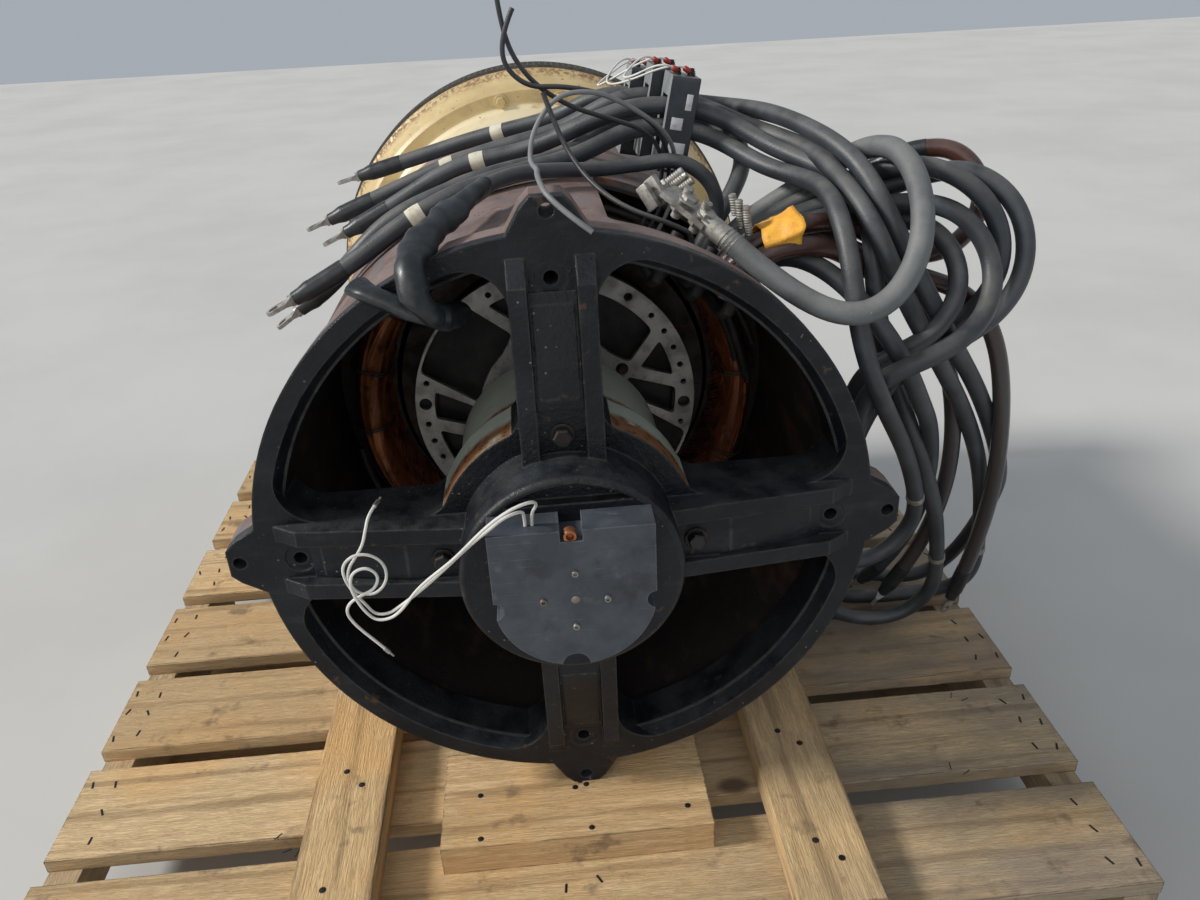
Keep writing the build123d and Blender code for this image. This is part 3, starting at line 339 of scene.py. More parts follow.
def rusty_paint():
    """The wrapper: red-brown primer under pink-grey dust, streaked and flaking to rust."""
    finish = Finish("rusty_paint", (0.095, 0.050, 0.040), 0.60)
    finish.patches((0.16, 0.095, 0.078), 1, 70, 0.35, 0.65, 8, (1, 0.5, 1))
    finish.patches((0.10, 0.105, 0.12), 0.8, 45, 0.50, 0.66, 8, (1.6, 0.4, 1.6), 17.0)
    finish.patches((0.045, 0.026, 0.022), 0.85, 55, 0.50, 0.66, 8, (1.4, 0.4, 1.4), 5.0)
    dust = finish.times(finish.facing(UP, 0.15, 0.9), finish.blotches(60, 0.25, 0.62, 8, shift=2.0))
    finish.paint((0.27, 0.215, 0.20), dust, 0.60)
    flakes = finish.blotches(16, 0.60, 0.66, 8, shift=11.0)
    finish.paint((0.24, 0.10, 0.045), flakes, 0.85)
    finish.patches((0.40, 0.37, 0.34), 0.6, 9, 0.66, 0.72, 6, shift=7.0)
    inside = finish.from_shaft(0.2925, 0.2885)
    finish.paint((0.018, 0.013, 0.012), inside)
    finish.paint((0.075, 0.042, 0.028), inside, finish.blotches(40, 0.5, 0.68, 8, (1, 0.4, 1), 3.0))
    return finish.sheen(0.85, dust).relief(flakes, 0.7, 0.6).grain(4, 0.3, 0.6, detail=4).done()


def cream_paint():
    """Aged cream paint on the engine-end casting, with rust at the lip, rust spots and grime."""
    finish = Finish("cream_paint", (0.52, 0.39, 0.19), 0.42).rounded(2)
    finish.patches((0.62, 0.48, 0.25), 1, 60, 0.35, 0.65, 5)
    finish.paint((0.74, 0.64, 0.42), finish.from_shaft(0.312, 0.300))
    finish.patches((0.36, 0.27, 0.14), 0.6, 40, 0.52, 0.72, 8, shift=3.0)
    lip = ADAPTER_FRONT + 226 * MM
    rust = finish.times(finish.between(1, lip - 26 * MM, lip + 6 * MM, 9 * MM),
                        finish.from_shaft(0.336, 0.350), finish.blotches(7, 0.40, 0.58, 8, shift=6.0))
    finish.paint((0.23, 0.12, 0.055), rust, 0.85)
    spots = finish.blotches(11, 0.64, 0.70, 8, shift=1.0)
    finish.paint((0.22, 0.10, 0.045), spots, 0.85)
    return finish.sheen(0.8, rust).relief(spots, 0.4, 0.5).grain(5, 0.2, 0.4).done()


def copper_coils():
    """Varnished copper: dark red-brown with copper showing along the strands."""
    finish = Finish("copper_coils", (0.21, 0.060, 0.020), 0.28, 0.35)
    finish.patches((0.46, 0.16, 0.055), 1, 30, 0.45, 0.68, 7, (1, 1, 0.4))
    finish.patches((0.060, 0.022, 0.013), 0.85, 24, 0.50, 0.64, 8, shift=4.0)
    finish.sheen(0.6, finish.blotches(40, 0.5, 0.7, 5, shift=8.0))
    return finish.grain(3, 0.3, 0.6).done()


def sleeve(name, colour, worn, roughness, dusty, low=None):
    """A cable's sleeve, rubbed paler in soft patches, with dust on its upper side and low down."""
    finish = Finish(name, colour, roughness)
    finish.patches(worn, 0.8, 60, 0.35, 0.75, 8)
    finish.patches(scaled(colour, 0.5), 0.6, 45, 0.50, 0.75, 6, shift=6.0)
    if low:
        finish.paint(low, finish.between(2, -1, 0.64, 0.10), 0.85)
    dust = finish.times(finish.facing(UP, -0.1, 0.9), finish.blotches(40, 0.25, 0.70, 8, shift=3.0))
    finish.paint(DUST, dust, dusty)
    finish.paint([min(1, c * 2.2 + 0.05) for c in worn], finish.blotches(5, 0.68, 0.75, 6, shift=9.0), 0.5)
    return finish.sheen(min(1, roughness + 0.2), dust).grain(2.5, 0.2, 0.5).done()


def metal(name, colour, roughness, tarnish, amount=0.6, size=12):
    """Bare or plated metal with tarnish, fine scratches and grime."""
    finish = Finish(name, colour, roughness, 0.9)
    finish.patches(tarnish, amount, size, 0.45, 0.66, 8)
    finish.patches(scaled(colour, 0.4), amount, size * 0.5, 0.58, 0.70, 6, shift=5.0)
    finish.sheen(min(1, roughness + 0.3), finish.blotches(size * 2, 0.4, 0.65, 5, shift=3.0))
    return finish.grain(1.2, 0.08, 0.5, detail=2).done()


def plain(name, colour, darker, roughness, size=10, grain=0.1):
    """Moulded plastic, paper or tape: two close tones, smudges and a fine grain."""
    finish = Finish(name, colour, roughness)
    finish.patches(darker, 0.8, size, 0.42, 0.70, 7)
    finish.patches(scaled(darker, 0.5), 0.5, size * 0.6, 0.62, 0.74, 6, shift=4.0)
    finish.sheen(min(1, roughness + 0.2), finish.blotches(size * 2, 0.4, 0.65, 5, shift=2.0))
    return finish.grain(1.5, grain, 0.5, detail=2).done()


def transformer_case():
    """Current transformer: near-black narrow faces and pale grey broad ones."""
    finish = Finish("transformer_case", (0.020, 0.026, 0.034), 0.38).rounded(1.5)
    finish.patches((0.035, 0.042, 0.052), 1, 20, 0.4, 0.7, 6)
    for side in (-1, 1):
        finish.paint((0.25, 0.265, 0.27), finish.facing(
            (side * cos(CASE_TILT), 0, -side * sin(CASE_TILT)), 0.80, 0.92))
    finish.paint(DUST, finish.facing(UP, 0.7, 1.0), finish.blotches(12, 0.4, 0.7, 6))
    return finish.grain(1.5, 0.1, 0.4, detail=2).done()


CASE_TILT = radians(11)
PALLET_X = timber("pallet_boards", 0, (0.84, 0.62, 0.35), (0.55, 0.35, 0.16), 0.70)
PALLET_Y = timber("pallet_bearers", 1, (0.60, 0.45, 0.27), (0.42, 0.28, 0.15), 0.4)
RAIL_WOOD = timber("packing_planks", 1, (0.76, 0.53, 0.27), (0.46, 0.28, 0.12), 0.35)
BLOCK_WOOD = timber("packing_block", 0, (0.88, 0.62, 0.34), (0.56, 0.33, 0.13), 0.0)
CASTING = black_casting()
CREAM = cream_paint()
COILS = copper_coils()
LAMINATIONS = metal("lamination_edges", (0.055, 0.05, 0.048), 0.5, (0.06, 0.03, 0.02), 0.8)
STEEL = metal("bare_steel", (0.34, 0.32, 0.30), 0.42, (0.16, 0.085, 0.05), 0.6, 20)
ALLOY = metal("ring_alloy", (0.52, 0.51, 0.48), 0.5, (0.20, 0.18, 0.16), 0.55, 25)
TIN = metal("tinned_copper", (0.42, 0.41, 0.38), 0.45, (0.20, 0.17, 0.14), 0.7, 8)
COPPER = metal("copper_screws", (0.48, 0.20, 0.10), 0.34, (0.16, 0.06, 0.03), 0.6)
BOLTS = metal("dark_bolts", (0.045, 0.045, 0.047), 0.42, (0.10, 0.050, 0.028), 0.6)
VARNISH = plain("black_varnish", (0.012, 0.011, 0.011), (0.030, 0.024, 0.021), 0.5, 30, 0.3)
SCREEN = plain("screen_paint", (0.10, 0.095, 0.085), (0.05, 0.045, 0.04), 0.6)
SLEEVES = {
    "lead": sleeve("black_sleeve", (0.026, 0.031, 0.038), (0.062, 0.070, 0.080), 0.42, 0.30),
    "grey": sleeve("grey_sleeve", (0.105, 0.115, 0.120), (0.16, 0.17, 0.175), 0.48, 0.35),
    "brown": sleeve("brown_sleeve", (0.050, 0.020, 0.016), (0.085, 0.038, 0.030), 0.22, 0.12,
                    (0.045, 0.045, 0.047)),
    "wire": sleeve("thin_wire_sleeve", (0.022, 0.023, 0.026), (0.045, 0.046, 0.05), 0.42, 0.25),
    "wire_3": sleeve("pale_wire_sleeve", (0.17, 0.175, 0.18), (0.27, 0.275, 0.28), 0.42, 0.2),
    "white": sleeve("white_wire_sleeve", (0.66, 0.65, 0.60), (0.74, 0.73, 0.69), 0.45, 0.15),
}
SHRINK = plain("shrink_sleeve", (0.012, 0.015, 0.018), (0.030, 0.036, 0.040), 0.33)
LABEL = plain("marker_sleeve", (0.64, 0.60, 0.48), (0.44, 0.40, 0.31), 0.5, 8)
STICKER = plain("blank_paper", (0.62, 0.62, 0.64), (0.42, 0.42, 0.43), 0.5, 6)
TAPE = plain("orange_tape", (0.85, 0.42, 0.045), (0.70, 0.30, 0.03), 0.42, 12, 0.4)
RED = plain("red_crimps", (0.42, 0.035, 0.02), (0.25, 0.02, 0.015), 0.35, 4)
TIE = plain("lacing_cord", (0.035, 0.028, 0.024), (0.09, 0.06, 0.04), 0.6, 6)

for material, nodes in (
        (PALLET_X, "deck_boards bottom_boards"), (PALLET_Y, "stringers"),
        (RAIL_WOOD, "rail_left rail_right"), (BLOCK_WOOD, "front_block rear_shim"),
        (CASTING, "end_bracket"), (cover_paint(), "end_cover"), (green_paint(), "exciter_housing"),
        (rusty_paint(), "stator_shell"), (LAMINATIONS, "stator_core rotor_core"),
        (VARNISH, "lead_bundle rotor_end_disc"), (CREAM, "engine_adapter"),
        (STEEL, "shaft coupling_discs"), (ALLOY, "fan balance_ring"),
        (transformer_case(), "ct_front ct_middle ct_back"), (TIN, "cable_lugs grey_connector"),
        (COILS, "front_winding rear_winding"), (SCREEN, "vent_screen")):
    for node in nodes.split():
        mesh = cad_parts[node].data
        mesh.materials.clear()
        mesh.materials.append(material)


# Mesh pieces


def placed(name, data, body, place=None):
    """A visible piece that rides on a body."""
    piece = bpy.data.objects.new(name, data)
    if place:
        piece.matrix_world = place
    bpy.context.collection.objects.link(piece)
    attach(piece, body)
    return piece


class Shape:
    """Points and faces gathered from several forms, made into one object at the end."""

    def __init__(self):
        self.points = []
        self.faces = []

    def add(self, form, place=None):
        points, faces = form
        start = len(self.points)
        self.points += [place @ Vector(p) if place else Vector(p) for p in points]
        self.faces += [[start + i for i in face] for face in faces]
        return self

    def turned(self, profile, place, steps=24):
        """Add a turned form about the place's own Z, its profile in millimetres."""
        return self.add(lathe(profile, steps), place @ MILLIMETRES)

    def bolt(self, across, height, place):
        """Add a hexagon head with its chamfered top, on a washer."""
        r = across / 2 / cos(radians(30))
        self.turned([(r * 1.28, 0), (r * 1.28, 0.14 * height), (r * 1.2, 0.2 * height),
                     (0, 0.2 * height)], place)
        return self.turned([(0, 0.1 * height), (r, 0.1 * height), (r, 0.85 * height), (0.86 * r, height),
                            (0, height)], place, 6)

    def socket_screw(self, radius, height, place):
        """Add a round cap screw with its hexagon socket."""
        self.turned([(radius, 0), (radius, 0.8 * height), (0.88 * radius, height), (0.55 * radius, height)],
                    place)
        return self.turned([(0.55 * radius, height), (0.52 * radius, 0.4 * height), (0, 0.35 * height)],
                           place, 6)

    def block(self, size, edge, place):
        """Add a box about the place with its edges rounded off, in millimetres."""
        return self.add(eased_box(*(s * MM for s in (*size, edge))), place)

    def make(self, name, material, body="generator", sharp=35):
        mesh = bpy.data.meshes.new(name)
        mesh.from_pydata(self.points, [], self.faces)
        mesh.materials.append(material)
        mesh.shade_smooth()
        mesh.set_sharp_from_angle(angle=radians(sharp))
        return placed(name, mesh, body)


def circuit(steps):
    """The cosine and sine of equal turns round a circle."""
    return [(cos(2 * pi * k / steps), sin(2 * pi * k / steps)) for k in range(steps)]


def skin(rings, count):
    """Faces between rings of points that follow one another."""
    return [[a, b, b + count, a + count] for i in range(rings - 1) for k in range(count)
            for a, b in [(i * count + k, i * count + (k + 1) % count)]]


def lathe(profile, steps=24):
    """A profile of (radius, height) turned about Z. A radius of 0 closes it to a point."""
    points, faces, rings = [], [], []
    for radius, height in profile:
        if radius == 0:
            rings.append([len(points)] * steps)
            points.append((0, 0, height))
        else:
            rings.append(list(range(len(points), len(points) + steps)))
            points += [(radius * c, radius * s, height) for c, s in circuit(steps)]
    for low, high in zip(rings, rings[1:]):
        for k in range(steps):
            n = (k + 1) % steps
            face = list(dict.fromkeys([low[k], low[n], high[n], high[k]]))
            if len(face) > 2:
                faces.append(face)
    return points, faces


def eased_box(x, y, z, edge):
    """A box about the origin with its edges rounded off."""
    bm = bmesh.new()
    bmesh.ops.create_cube(bm, size=1, matrix=Matrix.Diagonal((x, y, z, 1)))
    bmesh.ops.bevel(bm, geom=bm.edges[:], offset=edge, segments=2, affect="EDGES", profile=0.5)
    form = ([v.co.copy() for v in bm.verts], [[v.index for v in f.verts] for f in bm.faces])
    bm.free()
    return form


def swept(points, section):
    """A section of (across, up) carried along a line of points without twisting."""
    verts = []
    side = Vector(UP)
    for i, point in enumerate(points):
        ahead = (points[min(i + 1, len(points) - 1)] - points[max(i - 1, 0)]).normalized()
        if i == 0:
            side = ahead.cross(side)
            if side.length < 0.01:
                side = ahead.cross(Vector((0, 1, 0)))
        side = (side - ahead * side.dot(ahead)).normalized()
        up = side.cross(ahead)
        verts += [point + side * a + up * b for a, b in section]
    count = len(section)
    ends = [list(range(count))[::-1], list(range(len(verts) - count, len(verts)))]
    return verts, skin(len(points), count) + ends


def oval(width, height, sides=6):
    """An oval section for swept pieces, in millimetres."""
    return [(width * MM / 2 * c, height * MM / 2 * s) for c, s in circuit(sides)]


def pointing(place, direction):
    """A place with its own Z along a direction."""
    return Matrix.Translation(place) @ Vector(direction).to_track_quat("Z", "Y").to_matrix().to_4x4()


def tube(name, points, diameter, material, order=3, fine=False):
    """A smooth round tube, with the points as the control points of its middle line."""
    curve = bpy.data.curves.new(name, "CURVE")
    curve.dimensions = "3D"
    curve.bevel_depth = diameter / 2
    curve.bevel_resolution, curve.resolution_u = (4, 10) if fine else (2, 8)
    curve.use_fill_caps = True
    spline = curve.splines.new("NURBS")
    spline.points.add(len(points) - 1)
    for point, place in zip(spline.points, points):
        point.co = (*place, 1)
    spline.order_u = order
    spline.use_endpoint_u = True
    curve.materials.append(material)
    return placed(name, curve, "generator")


def centre_line(piece):
    """Points along a tube's own middle line."""
    bare = piece.data.copy()
    bare.bevel_depth = 0
    holder = bpy.data.objects.new("line", bare)
    mesh = bpy.data.meshes.new_from_object(holder)
    line = [v.co.copy() for v in mesh.vertices]
    bpy.data.objects.remove(holder)
    bpy.data.curves.remove(bare)
    bpy.data.meshes.remove(mesh)
    return line


# Leads: the control points of each one's middle line in millimetres, from the solids' own
# courses, thinned so that they run smoother
ROUTES = {name: [tuple(v * MM for v in point) for point in line] for name, line in {
    "lead_a": [
        (211.3, -166, 688), (232.6, -166, 724.2), (305, -174, 760), (368, -210, 795), (414, -274, 816),
        (479, -294, 770), (494, -298, 690), (447, -275, 626), (373, -268, 589), (347, -233, 432),
        (337, -163, 280), (348, -123, 207), (401, -74, 165), (465, -26, 142), (544, -53, 132),
        (598, -78, 190), (598, -158, 340), (580, -203, 411), (500, -265, 551), (451, -303, 612),
        (360, -328, 756), (341, -269, 818), (305, -192, 842), (278, -109, 849), (253, -24, 844),
        (194, 42, 847), (106, 42, 865), (55, 75, 831), (-11, 94, 817), (-77, 113, 802), (-143, 128, 782),
        (-209, 134, 765),
    ],
    "lead_b": [
        (211.3, -192, 688), (232.6, -192, 724.2), (305, -201, 759), (382, -225, 775), (445, -261, 813),
        (508, -290, 770), (516, -303, 689), (453, -333, 646), (380, -317, 610), (348, -297, 537),
        (348, -235, 383), (349, -161, 233), (381, -115, 169), (454, -90, 136), (539, -95, 141),
        (599, -138, 181), (598, -137, 267), (547, -212, 419), (467, -288, 556), (370, -337, 689),
        (336, -333, 770), (319, -255, 805), (311, -168, 819), (258, -99, 830), (211, -28, 854),
        (123, -28, 871), (60, -4, 826), (-19, 6, 810), (-98, 9, 791), (-173, 13, 760), (-235, 14, 737),
    ],
    "lead_c": [
        (211.3, -218, 688), (232.6, -218, 724.2), (296, -223, 754), (366, -234, 754), (424, -275, 752),
        (445, -317, 699), (406, -336, 642), (344, -312, 617), (325, -308, 546), (333, -261, 406),
        (339, -205, 267), (353, -168, 203), (397, -140, 148), (472, -153, 137), (528, -164, 187),
        (517, -188, 259), (477, -246, 392), (412, -289, 522), (353, -307, 658), (342, -323, 731),
        (344, -273, 787), (314, -203, 803), (270, -149, 817), (223, -98, 850), (135, -98, 867),
        (61, -83, 837), (-9, -57, 807), (-90, -50, 803), (-157, -46, 757), (-206, -46, 735),
    ],
    "lead_d": [
        (211.3, -244, 688), (232.6, -244, 724.2), (299, -245, 757), (371, -254, 771), (435, -290, 776),
        (474, -316, 720), (449, -359, 667), (386, -385, 646), (335, -352, 612), (333, -330, 548),
        (345, -285, 430), (346, -258, 331), (381, -241, 307), (423, -232, 315), (450, -237, 353),
        (449, -255, 403), (404, -302, 504), (340, -381, 599), (312, -379, 668), (307, -356, 740),
        (304, -299, 792), (302, -222, 793), (262, -157, 795), (219, -98, 827), (131, -98, 844),
        (71, -134, 817), (5, -170, 811), (-66, -195, 801), (-134, -210, 773), (-195, -220, 730),
        (-236, -228, 712),
    ],
    "lead_e": [
        (190.6, -152, 700.2), (211.9, -152, 736.4), (254, -131, 785), (258, -70, 817), (207, -28, 831),
        (119, -28, 848), (69, -64, 813), (37, -129, 811), (-31, -152, 808), (-97, -175, 790),
        (-165, -182, 766), (-212, -183, 711), (-244, -188, 690),
    ],
    "lead_f": [
        (190.6, -180, 700.2), (211.9, -180, 736.4), (208, -181, 784), (171, -176, 814), (122, -170, 809),
        (73, -179, 808), (28, -203, 815), (-12, -235, 820), (-40, -278, 818), (-65, -335, 812),
        (-83, -385, 805), (-96, -425, 799), (-102, -456, 791), (-95, -468, 767), (-83, -452, 745),
        (-77, -422, 735), (-71, -390, 731),
    ],
    "lead_g": [
        (211.3, -272, 688), (232.6, -272, 724.2), (270, -289, 738), (320, -332, 705), (371, -354, 634),
        (405, -327, 569), (441, -285, 517), (478, -218, 387), (474, -149, 254), (457, -98, 184),
    ],
    "brown_1": [
        (188, -292, 701.7), (209.4, -292, 737.9), (253, -299, 764), (303, -291, 765), (344, -267, 750),
        (382, -259, 720), (426, -255, 708), (468, -246, 722), (493, -230, 758), (488, -205, 800),
        (453, -178, 817), (410, -155, 795),
    ],
    "brown_2": [
        (188, -266, 701.7), (209.4, -266, 737.9), (271, -275, 762), (334, -272, 728), (398, -278, 697),
        (464, -261, 676), (510, -277, 623), (540, -260, 482), (566, -209, 347), (572, -166, 237),
        (567, -152, 187),
    ],
    "brown_3": [
        (188, -318, 701.7), (209.4, -318, 737.9), (276, -317, 759), (337, -293, 720), (398, -297, 675),
        (438, -247, 635), (470, -263, 569), (499, -231, 427), (504, -171, 293), (492, -143, 226),
        (478, -132, 190),
    ],
    "grey": [
        (211.3, -140, 688), (232.6, -140, 724.2), (299, -149, 762), (352, -188, 812), (379, -254, 834),
        (381, -329, 803), (368, -382, 743), (311, -403, 684), (248, -372, 712), (191, -330, 763),
    ],
    "wire_1": [
        (130.3, -139, 735.7), (151.6, -139, 771.9), (154, -157, 815), (131, -181, 847), (91, -199, 863),
        (48, -210, 879), (10, -214, 907), (-12, -215, 948), (-14, -218, 995),
    ],
    "wire_2": [
        (138.9, -139, 730.6), (160.3, -139, 766.8), (161, -152, 808), (149, -178, 841), (125, -202, 867),
        (89, -214, 888), (47, -219, 899), (5, -221, 900), (-20, -222, 935), (1, -222, 972),
    ],
    "wire_3": [
        (147.6, -139, 725.6), (168.9, -139, 761.8), (169, -148, 801), (161, -175, 831), (142, -203, 854),
        (112, -219, 876), (77, -226, 894), (37, -232, 893), (12, -246, 864), (6, -279, 842),
        (9, -319, 841), (12, -359, 846), (11, -400, 847), (19, -441, 835), (53, -448, 809),
    ],
    "wire_4": [
        (145, -318, 727.1), (166.3, -318, 763.3), (135, -333, 783), (97, -327, 797), (71, -300, 811),
        (52, -270, 830), (36, -247, 859), (24, -242, 897),
    ],
    "white_1": [
        (-23, -514, 571.8), (-23, -514, 584), (-24.7, -525.1, 593.2), (-33.8, -532.1, 595.2),
        (-44.3, -532.2, 589.3), (-52.6, -528.8, 580.5), (-62.4, -527, 572.2), (-71.5, -523.9, 562.9),
        (-80.5, -520.4, 553.1), (-89.3, -516.5, 542.9), (-98.2, -512.3, 532.6), (-107.3, -508, 522.2),
        (-116.6, -503.8, 511.8), (-126.3, -499.7, 501.7), (-136.5, -495.8, 491.7), (-147.1, -492.3, 482.2),
        (-158.2, -489.4, 472.9), (-172.4, -486, 470.8), (-180.3, -484, 483.1), (-189, -482.3, 494.9),
        (-195.1, -480.8, 508.3), (-196.1, -479, 523), (-185.1, -476.7, 532.7), (-170.4, -474.9, 531.3),
        (-159.6, -473.6, 521.1), (-157.2, -472.9, 506.4), (-162.4, -472.4, 492.4), (-174.1, -471.7, 483.2),
        (-188.7, -470.7, 486.2), (-195.3, -470.1, 499.6), (-192.8, -470.2, 514.3), (-184, -470.6, 526.4),
        (-175.6, -470.3, 538.7), (-171.2, -467.8, 552.7), (-167.6, -459.9, 564.9), (-161.9, -446.3, 567.5),
    ],
    "white_2": [
        (-17, -514, 571.8), (-17, -514, 584), (-10.8, -522.2, 596.8), (-13.7, -532.6, 606.8),
        (-27.4, -538.1, 606.1), (-40.2, -537.4, 598.7), (-51.7, -535.7, 589.5), (-62, -533.1, 579.1),
        (-71.5, -529.6, 568.1), (-80.6, -525.6, 557), (-89.9, -521, 546.2), (-99.6, -516.2, 536),
        (-109.5, -511.3, 525.9), (-119.2, -506.7, 515.5), (-128.5, -502.8, 504.5), (-137, -499.8, 492.6),
        (-145.7, -497.4, 480.7), (-156.8, -495.2, 471.2), (-171.2, -492.9, 469.1), (-180.5, -491.6, 480.6),
        (-185.7, -491.9, 494.3), (-189.4, -490.2, 508.4), (-185.3, -489.4, 522.4), (-171.3, -488.4, 526.4),
        (-161.7, -488, 515.4), (-167.3, -488.8, 501.9), (-180.6, -488.9, 495.8), (-193, -487.5, 488.1),
        (-199.2, -484.3, 475), (-194.8, -482.5, 461), (-186.7, -482.1, 448.6), (-177.4, -482.4, 437.1),
        (-168.6, -482.3, 425.1),
    ],
}.items()}
# Each lead's length in metres, and the diameter in millimetres, far end and stiffness of its kind
LENGTHS = {
    "lead_a": 2.870, "lead_b": 2.834, "lead_c": 2.459, "lead_d": 2.221, "lead_e": 0.783, "lead_f": 0.692,
    "lead_g": 0.787, "brown_1": 0.517, "brown_2": 0.847, "brown_3": 0.806, "grey": 0.626, "wire_1": 0.364,
    "wire_2": 0.376, "wire_3": 0.562, "wire_4": 0.273, "white_1": 0.491, "white_2": 0.462,
}
KINDS = {
    "lead": (20, "connector", "limp"), "lead_f": (16, "bare", "limp"), "brown": (20, "connector", "limp"),
    "grey": (23, "connector", "limp"), "wire": (5, "bare", "medium"), "wire_4": (5, "bare", "limp"),
    "white": (3, "bare", "limp"),
}
# Diameters in millimetres over which a lead is drawn with finer steps, and with a smoother line
FINE_OVER = 10
SMOOTH_OVER = 16


def own(table, name):
    """A lead's own entry in a table, or its kind's."""
    return table.get(name) or table[name.split("_")[0]]


def end_place(name):
    """A place on the far end of a lead, with its own Z out along the lead."""
    before, end = Vector(ROUTES[name][-2]), Vector(ROUTES[name][-1])
    out = (end - before).normalized()
    across = out.cross(Vector(UP)).normalized()
    return Matrix.Translation(end) @ Matrix((across, out.cross(across), out)).transposed().to_4x4()


def lug(name):
    """A tinned cable lug: a crimped barrel that flattens into a drilled, rounded tongue."""
    barrel, tongue, half_width, half_thickness, hole, flat_from = 26, 54, 9, 2, 5.5, 30
    place, steps = end_place(name), 24
    shape = Shape().turned([(0, 0), (6.5, 0), (6.5, 7), (5.9, 8), (5.9, 11), (6.5, 12), (6.5, 15),
                            (5.9, 16), (5.9, 19), (6.5, 20), (6.3, barrel), (0, barrel)], place)
    neck = [(6.0, 6.0, 20), (7.4, 3.6, barrel), (half_width, half_thickness, 31)]
    for low, high in zip(neck, neck[1:]):
        corners = [(sx * w, sy * t, z) for w, t, z in (low, high)
                   for sx, sy in ((-1, -1), (1, -1), (1, 1), (-1, 1))]
        shape.add((corners, skin(2, 4)), place @ MILLIMETRES)
    centre = tongue - half_width
    rim, bore = [], []
    for z, x in circuit(steps):
        far = half_width if z > -0.3 else min(half_width / max(abs(x), 0.01), (centre - flat_from) / -z)
        rim.append((x * far, centre + z * far))
        bore.append((x * hole, centre + z * hole))
    points = [(x, side * half_thickness, z) for side in (-1, 1) for x, z in rim + bore]
    faces = []
    for k in range(steps):
        n = (k + 1) % steps
        faces += [[k, n, steps + n, steps + k],
                  [2 * steps + k, 3 * steps + k, 3 * steps + n, 2 * steps + n],
                  [k, 2 * steps + k, 2 * steps + n, n],
                  [steps + k, steps + n, 3 * steps + n, 3 * steps + k]]
    piece = shape.add((points, faces), place @ MILLIMETRES).make(name + "_lug", TIN)
    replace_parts(piece, "cable_lugs")
    return piece


def cable(name, end_pieces=()):
    """One cable as a smooth tube along its route."""
    diameter, far_end, stiffness = own(KINDS, name)
    thick = diameter > FINE_OVER
    piece = tube(name + "_cable", ROUTES[name], diameter * MM, own(SLEEVES, name),
                 4 if diameter > SMOOTH_OVER else 3, thick)
    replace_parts(piece, name)
    return piece


cables = {}
lugged = []
for name in LENGTHS:
    if name == "grey":
        cables[name] = cable(name, [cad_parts["grey_connector"]])
    elif own(KINDS, name)[1] == "connector":
        cables[name] = cable(name, [lug(name)])
        lugged.append(name)
    else:
        cables[name] = cable(name)


# Coil ends: so many coils round the bore, each of so many strands, spanning so many degrees
COILS_ROUND = 48
STRANDS = 6
COIL_SPAN = 92


def winding(node, root, mouth):
    """Varnished strands that leave the slots, run round and return, over a solid core."""
    core_steps, outline = 72, [(224, 0.0), (224, 0.72), (234, 0.86), (250, 0.84), (259, 0.66), (261, 0.0)]
    count = len(outline)
    body = Shape().add(([around(radius, k * 360 / core_steps, root + (mouth - root) * depth)
                         for k in range(core_steps) for radius, depth in outline],
                        [[a, b, b + 1, a + 1] for k in range(core_steps) for j in range(count - 1)
                         for a, b in [(k * count + j, (k + 1) % core_steps * count + j)]]))
    for coil in range(COILS_ROUND):
        for strand in range(STRANDS):
            wander = jitter(coil * 1.7, strand * 3.1, root)
            lift = (strand - 2.5) * 3.2
            path = []
            for step in range(15):
                t = step / 14
                arch = sin(pi * t) ** 0.45
                radius = 259 - 40 * t - 5 * arch * (1 - 2 * t) - lift * 0.28 * cos(pi * t)
                depth = arch * (0.93 + 0.030 * wander.x) - abs(lift) / COIL_SPAN * 0.35 * arch
                path.append(around(radius + wander.y * 1.2,
                                   360 / COILS_ROUND * coil + COIL_SPAN * t + 1.1 * strand + wander.z * 0.8,
                                   root + (mouth - root) * depth))
            body.add(swept(path, oval(4.2, 3.2)))
    return body.make(node + "_coils", COILS, sharp=50)


def lacing(node, root, mouth):
    """Cord ties round the bundles."""
    ties = Shape()
    arch = [(267, 0.30), (266, 0.62), (259, 0.86), (247, 0.985), (233, 0.985), (222, 0.90),
            (217.5, 0.70), (217, 0.35)]
    for k in range(18):
        drift = noise.noise((k * 2.3, root, 0.4))
        for shift in (0, 0.9) if k % 3 else (0,):
            ties.add(swept([around(r, k * 20 + drift * 8 + shift + depth * 9 * drift,
                                   root + (mouth - root) * depth) for r, depth in arch], oval(2.6, 2.0)))
    ties.make(node + "_lacing", TIE)


for node, root_side in (("front_winding", 1), ("rear_winding", 0)):
    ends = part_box(node)
    root, mouth = ends[root_side][1], ends[1 - root_side][1]
    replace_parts(winding(node, root, mouth), node)
    lacing(node, root, mouth)

# The winding tails that rise through the lead opening, and the black links on the coils' face
OPENING = radians(30.5)
low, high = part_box("lead_bundle")
tails = Shape()
for layer in range(2):
    for k in range(7):
        wander = jitter(k * 1.9, layer * 2.7, 0.3)
        front = low[1] + (14 + 24 * ((k * 2 + layer) % 5)) * MM
        path = []
        for step in range(13):
            t = step / 12
            level, rise = min(1, t / 0.8), max(0, (t - 0.7) / 0.3)
            side = -22 + 16.4 * k + wander.x * 1.5 + 3 * sin(5 * t + k) * (1 - t)
            up = 241 + 14 * layer + 1.5 * sin(5 * t + 2 * k) + 30 * rise ** 1.6
            path.append(Vector((SHAFT_X + (side * cos(OPENING) + up * sin(OPENING)) * MM,
                                high[1] + (front - high[1]) * (level - 0.06 * rise ** 2),
                                SHAFT_Z + (up * cos(OPENING) - side * sin(OPENING)) * MM)))
        tails.add(swept(path, oval(15, 13.5, 10)))
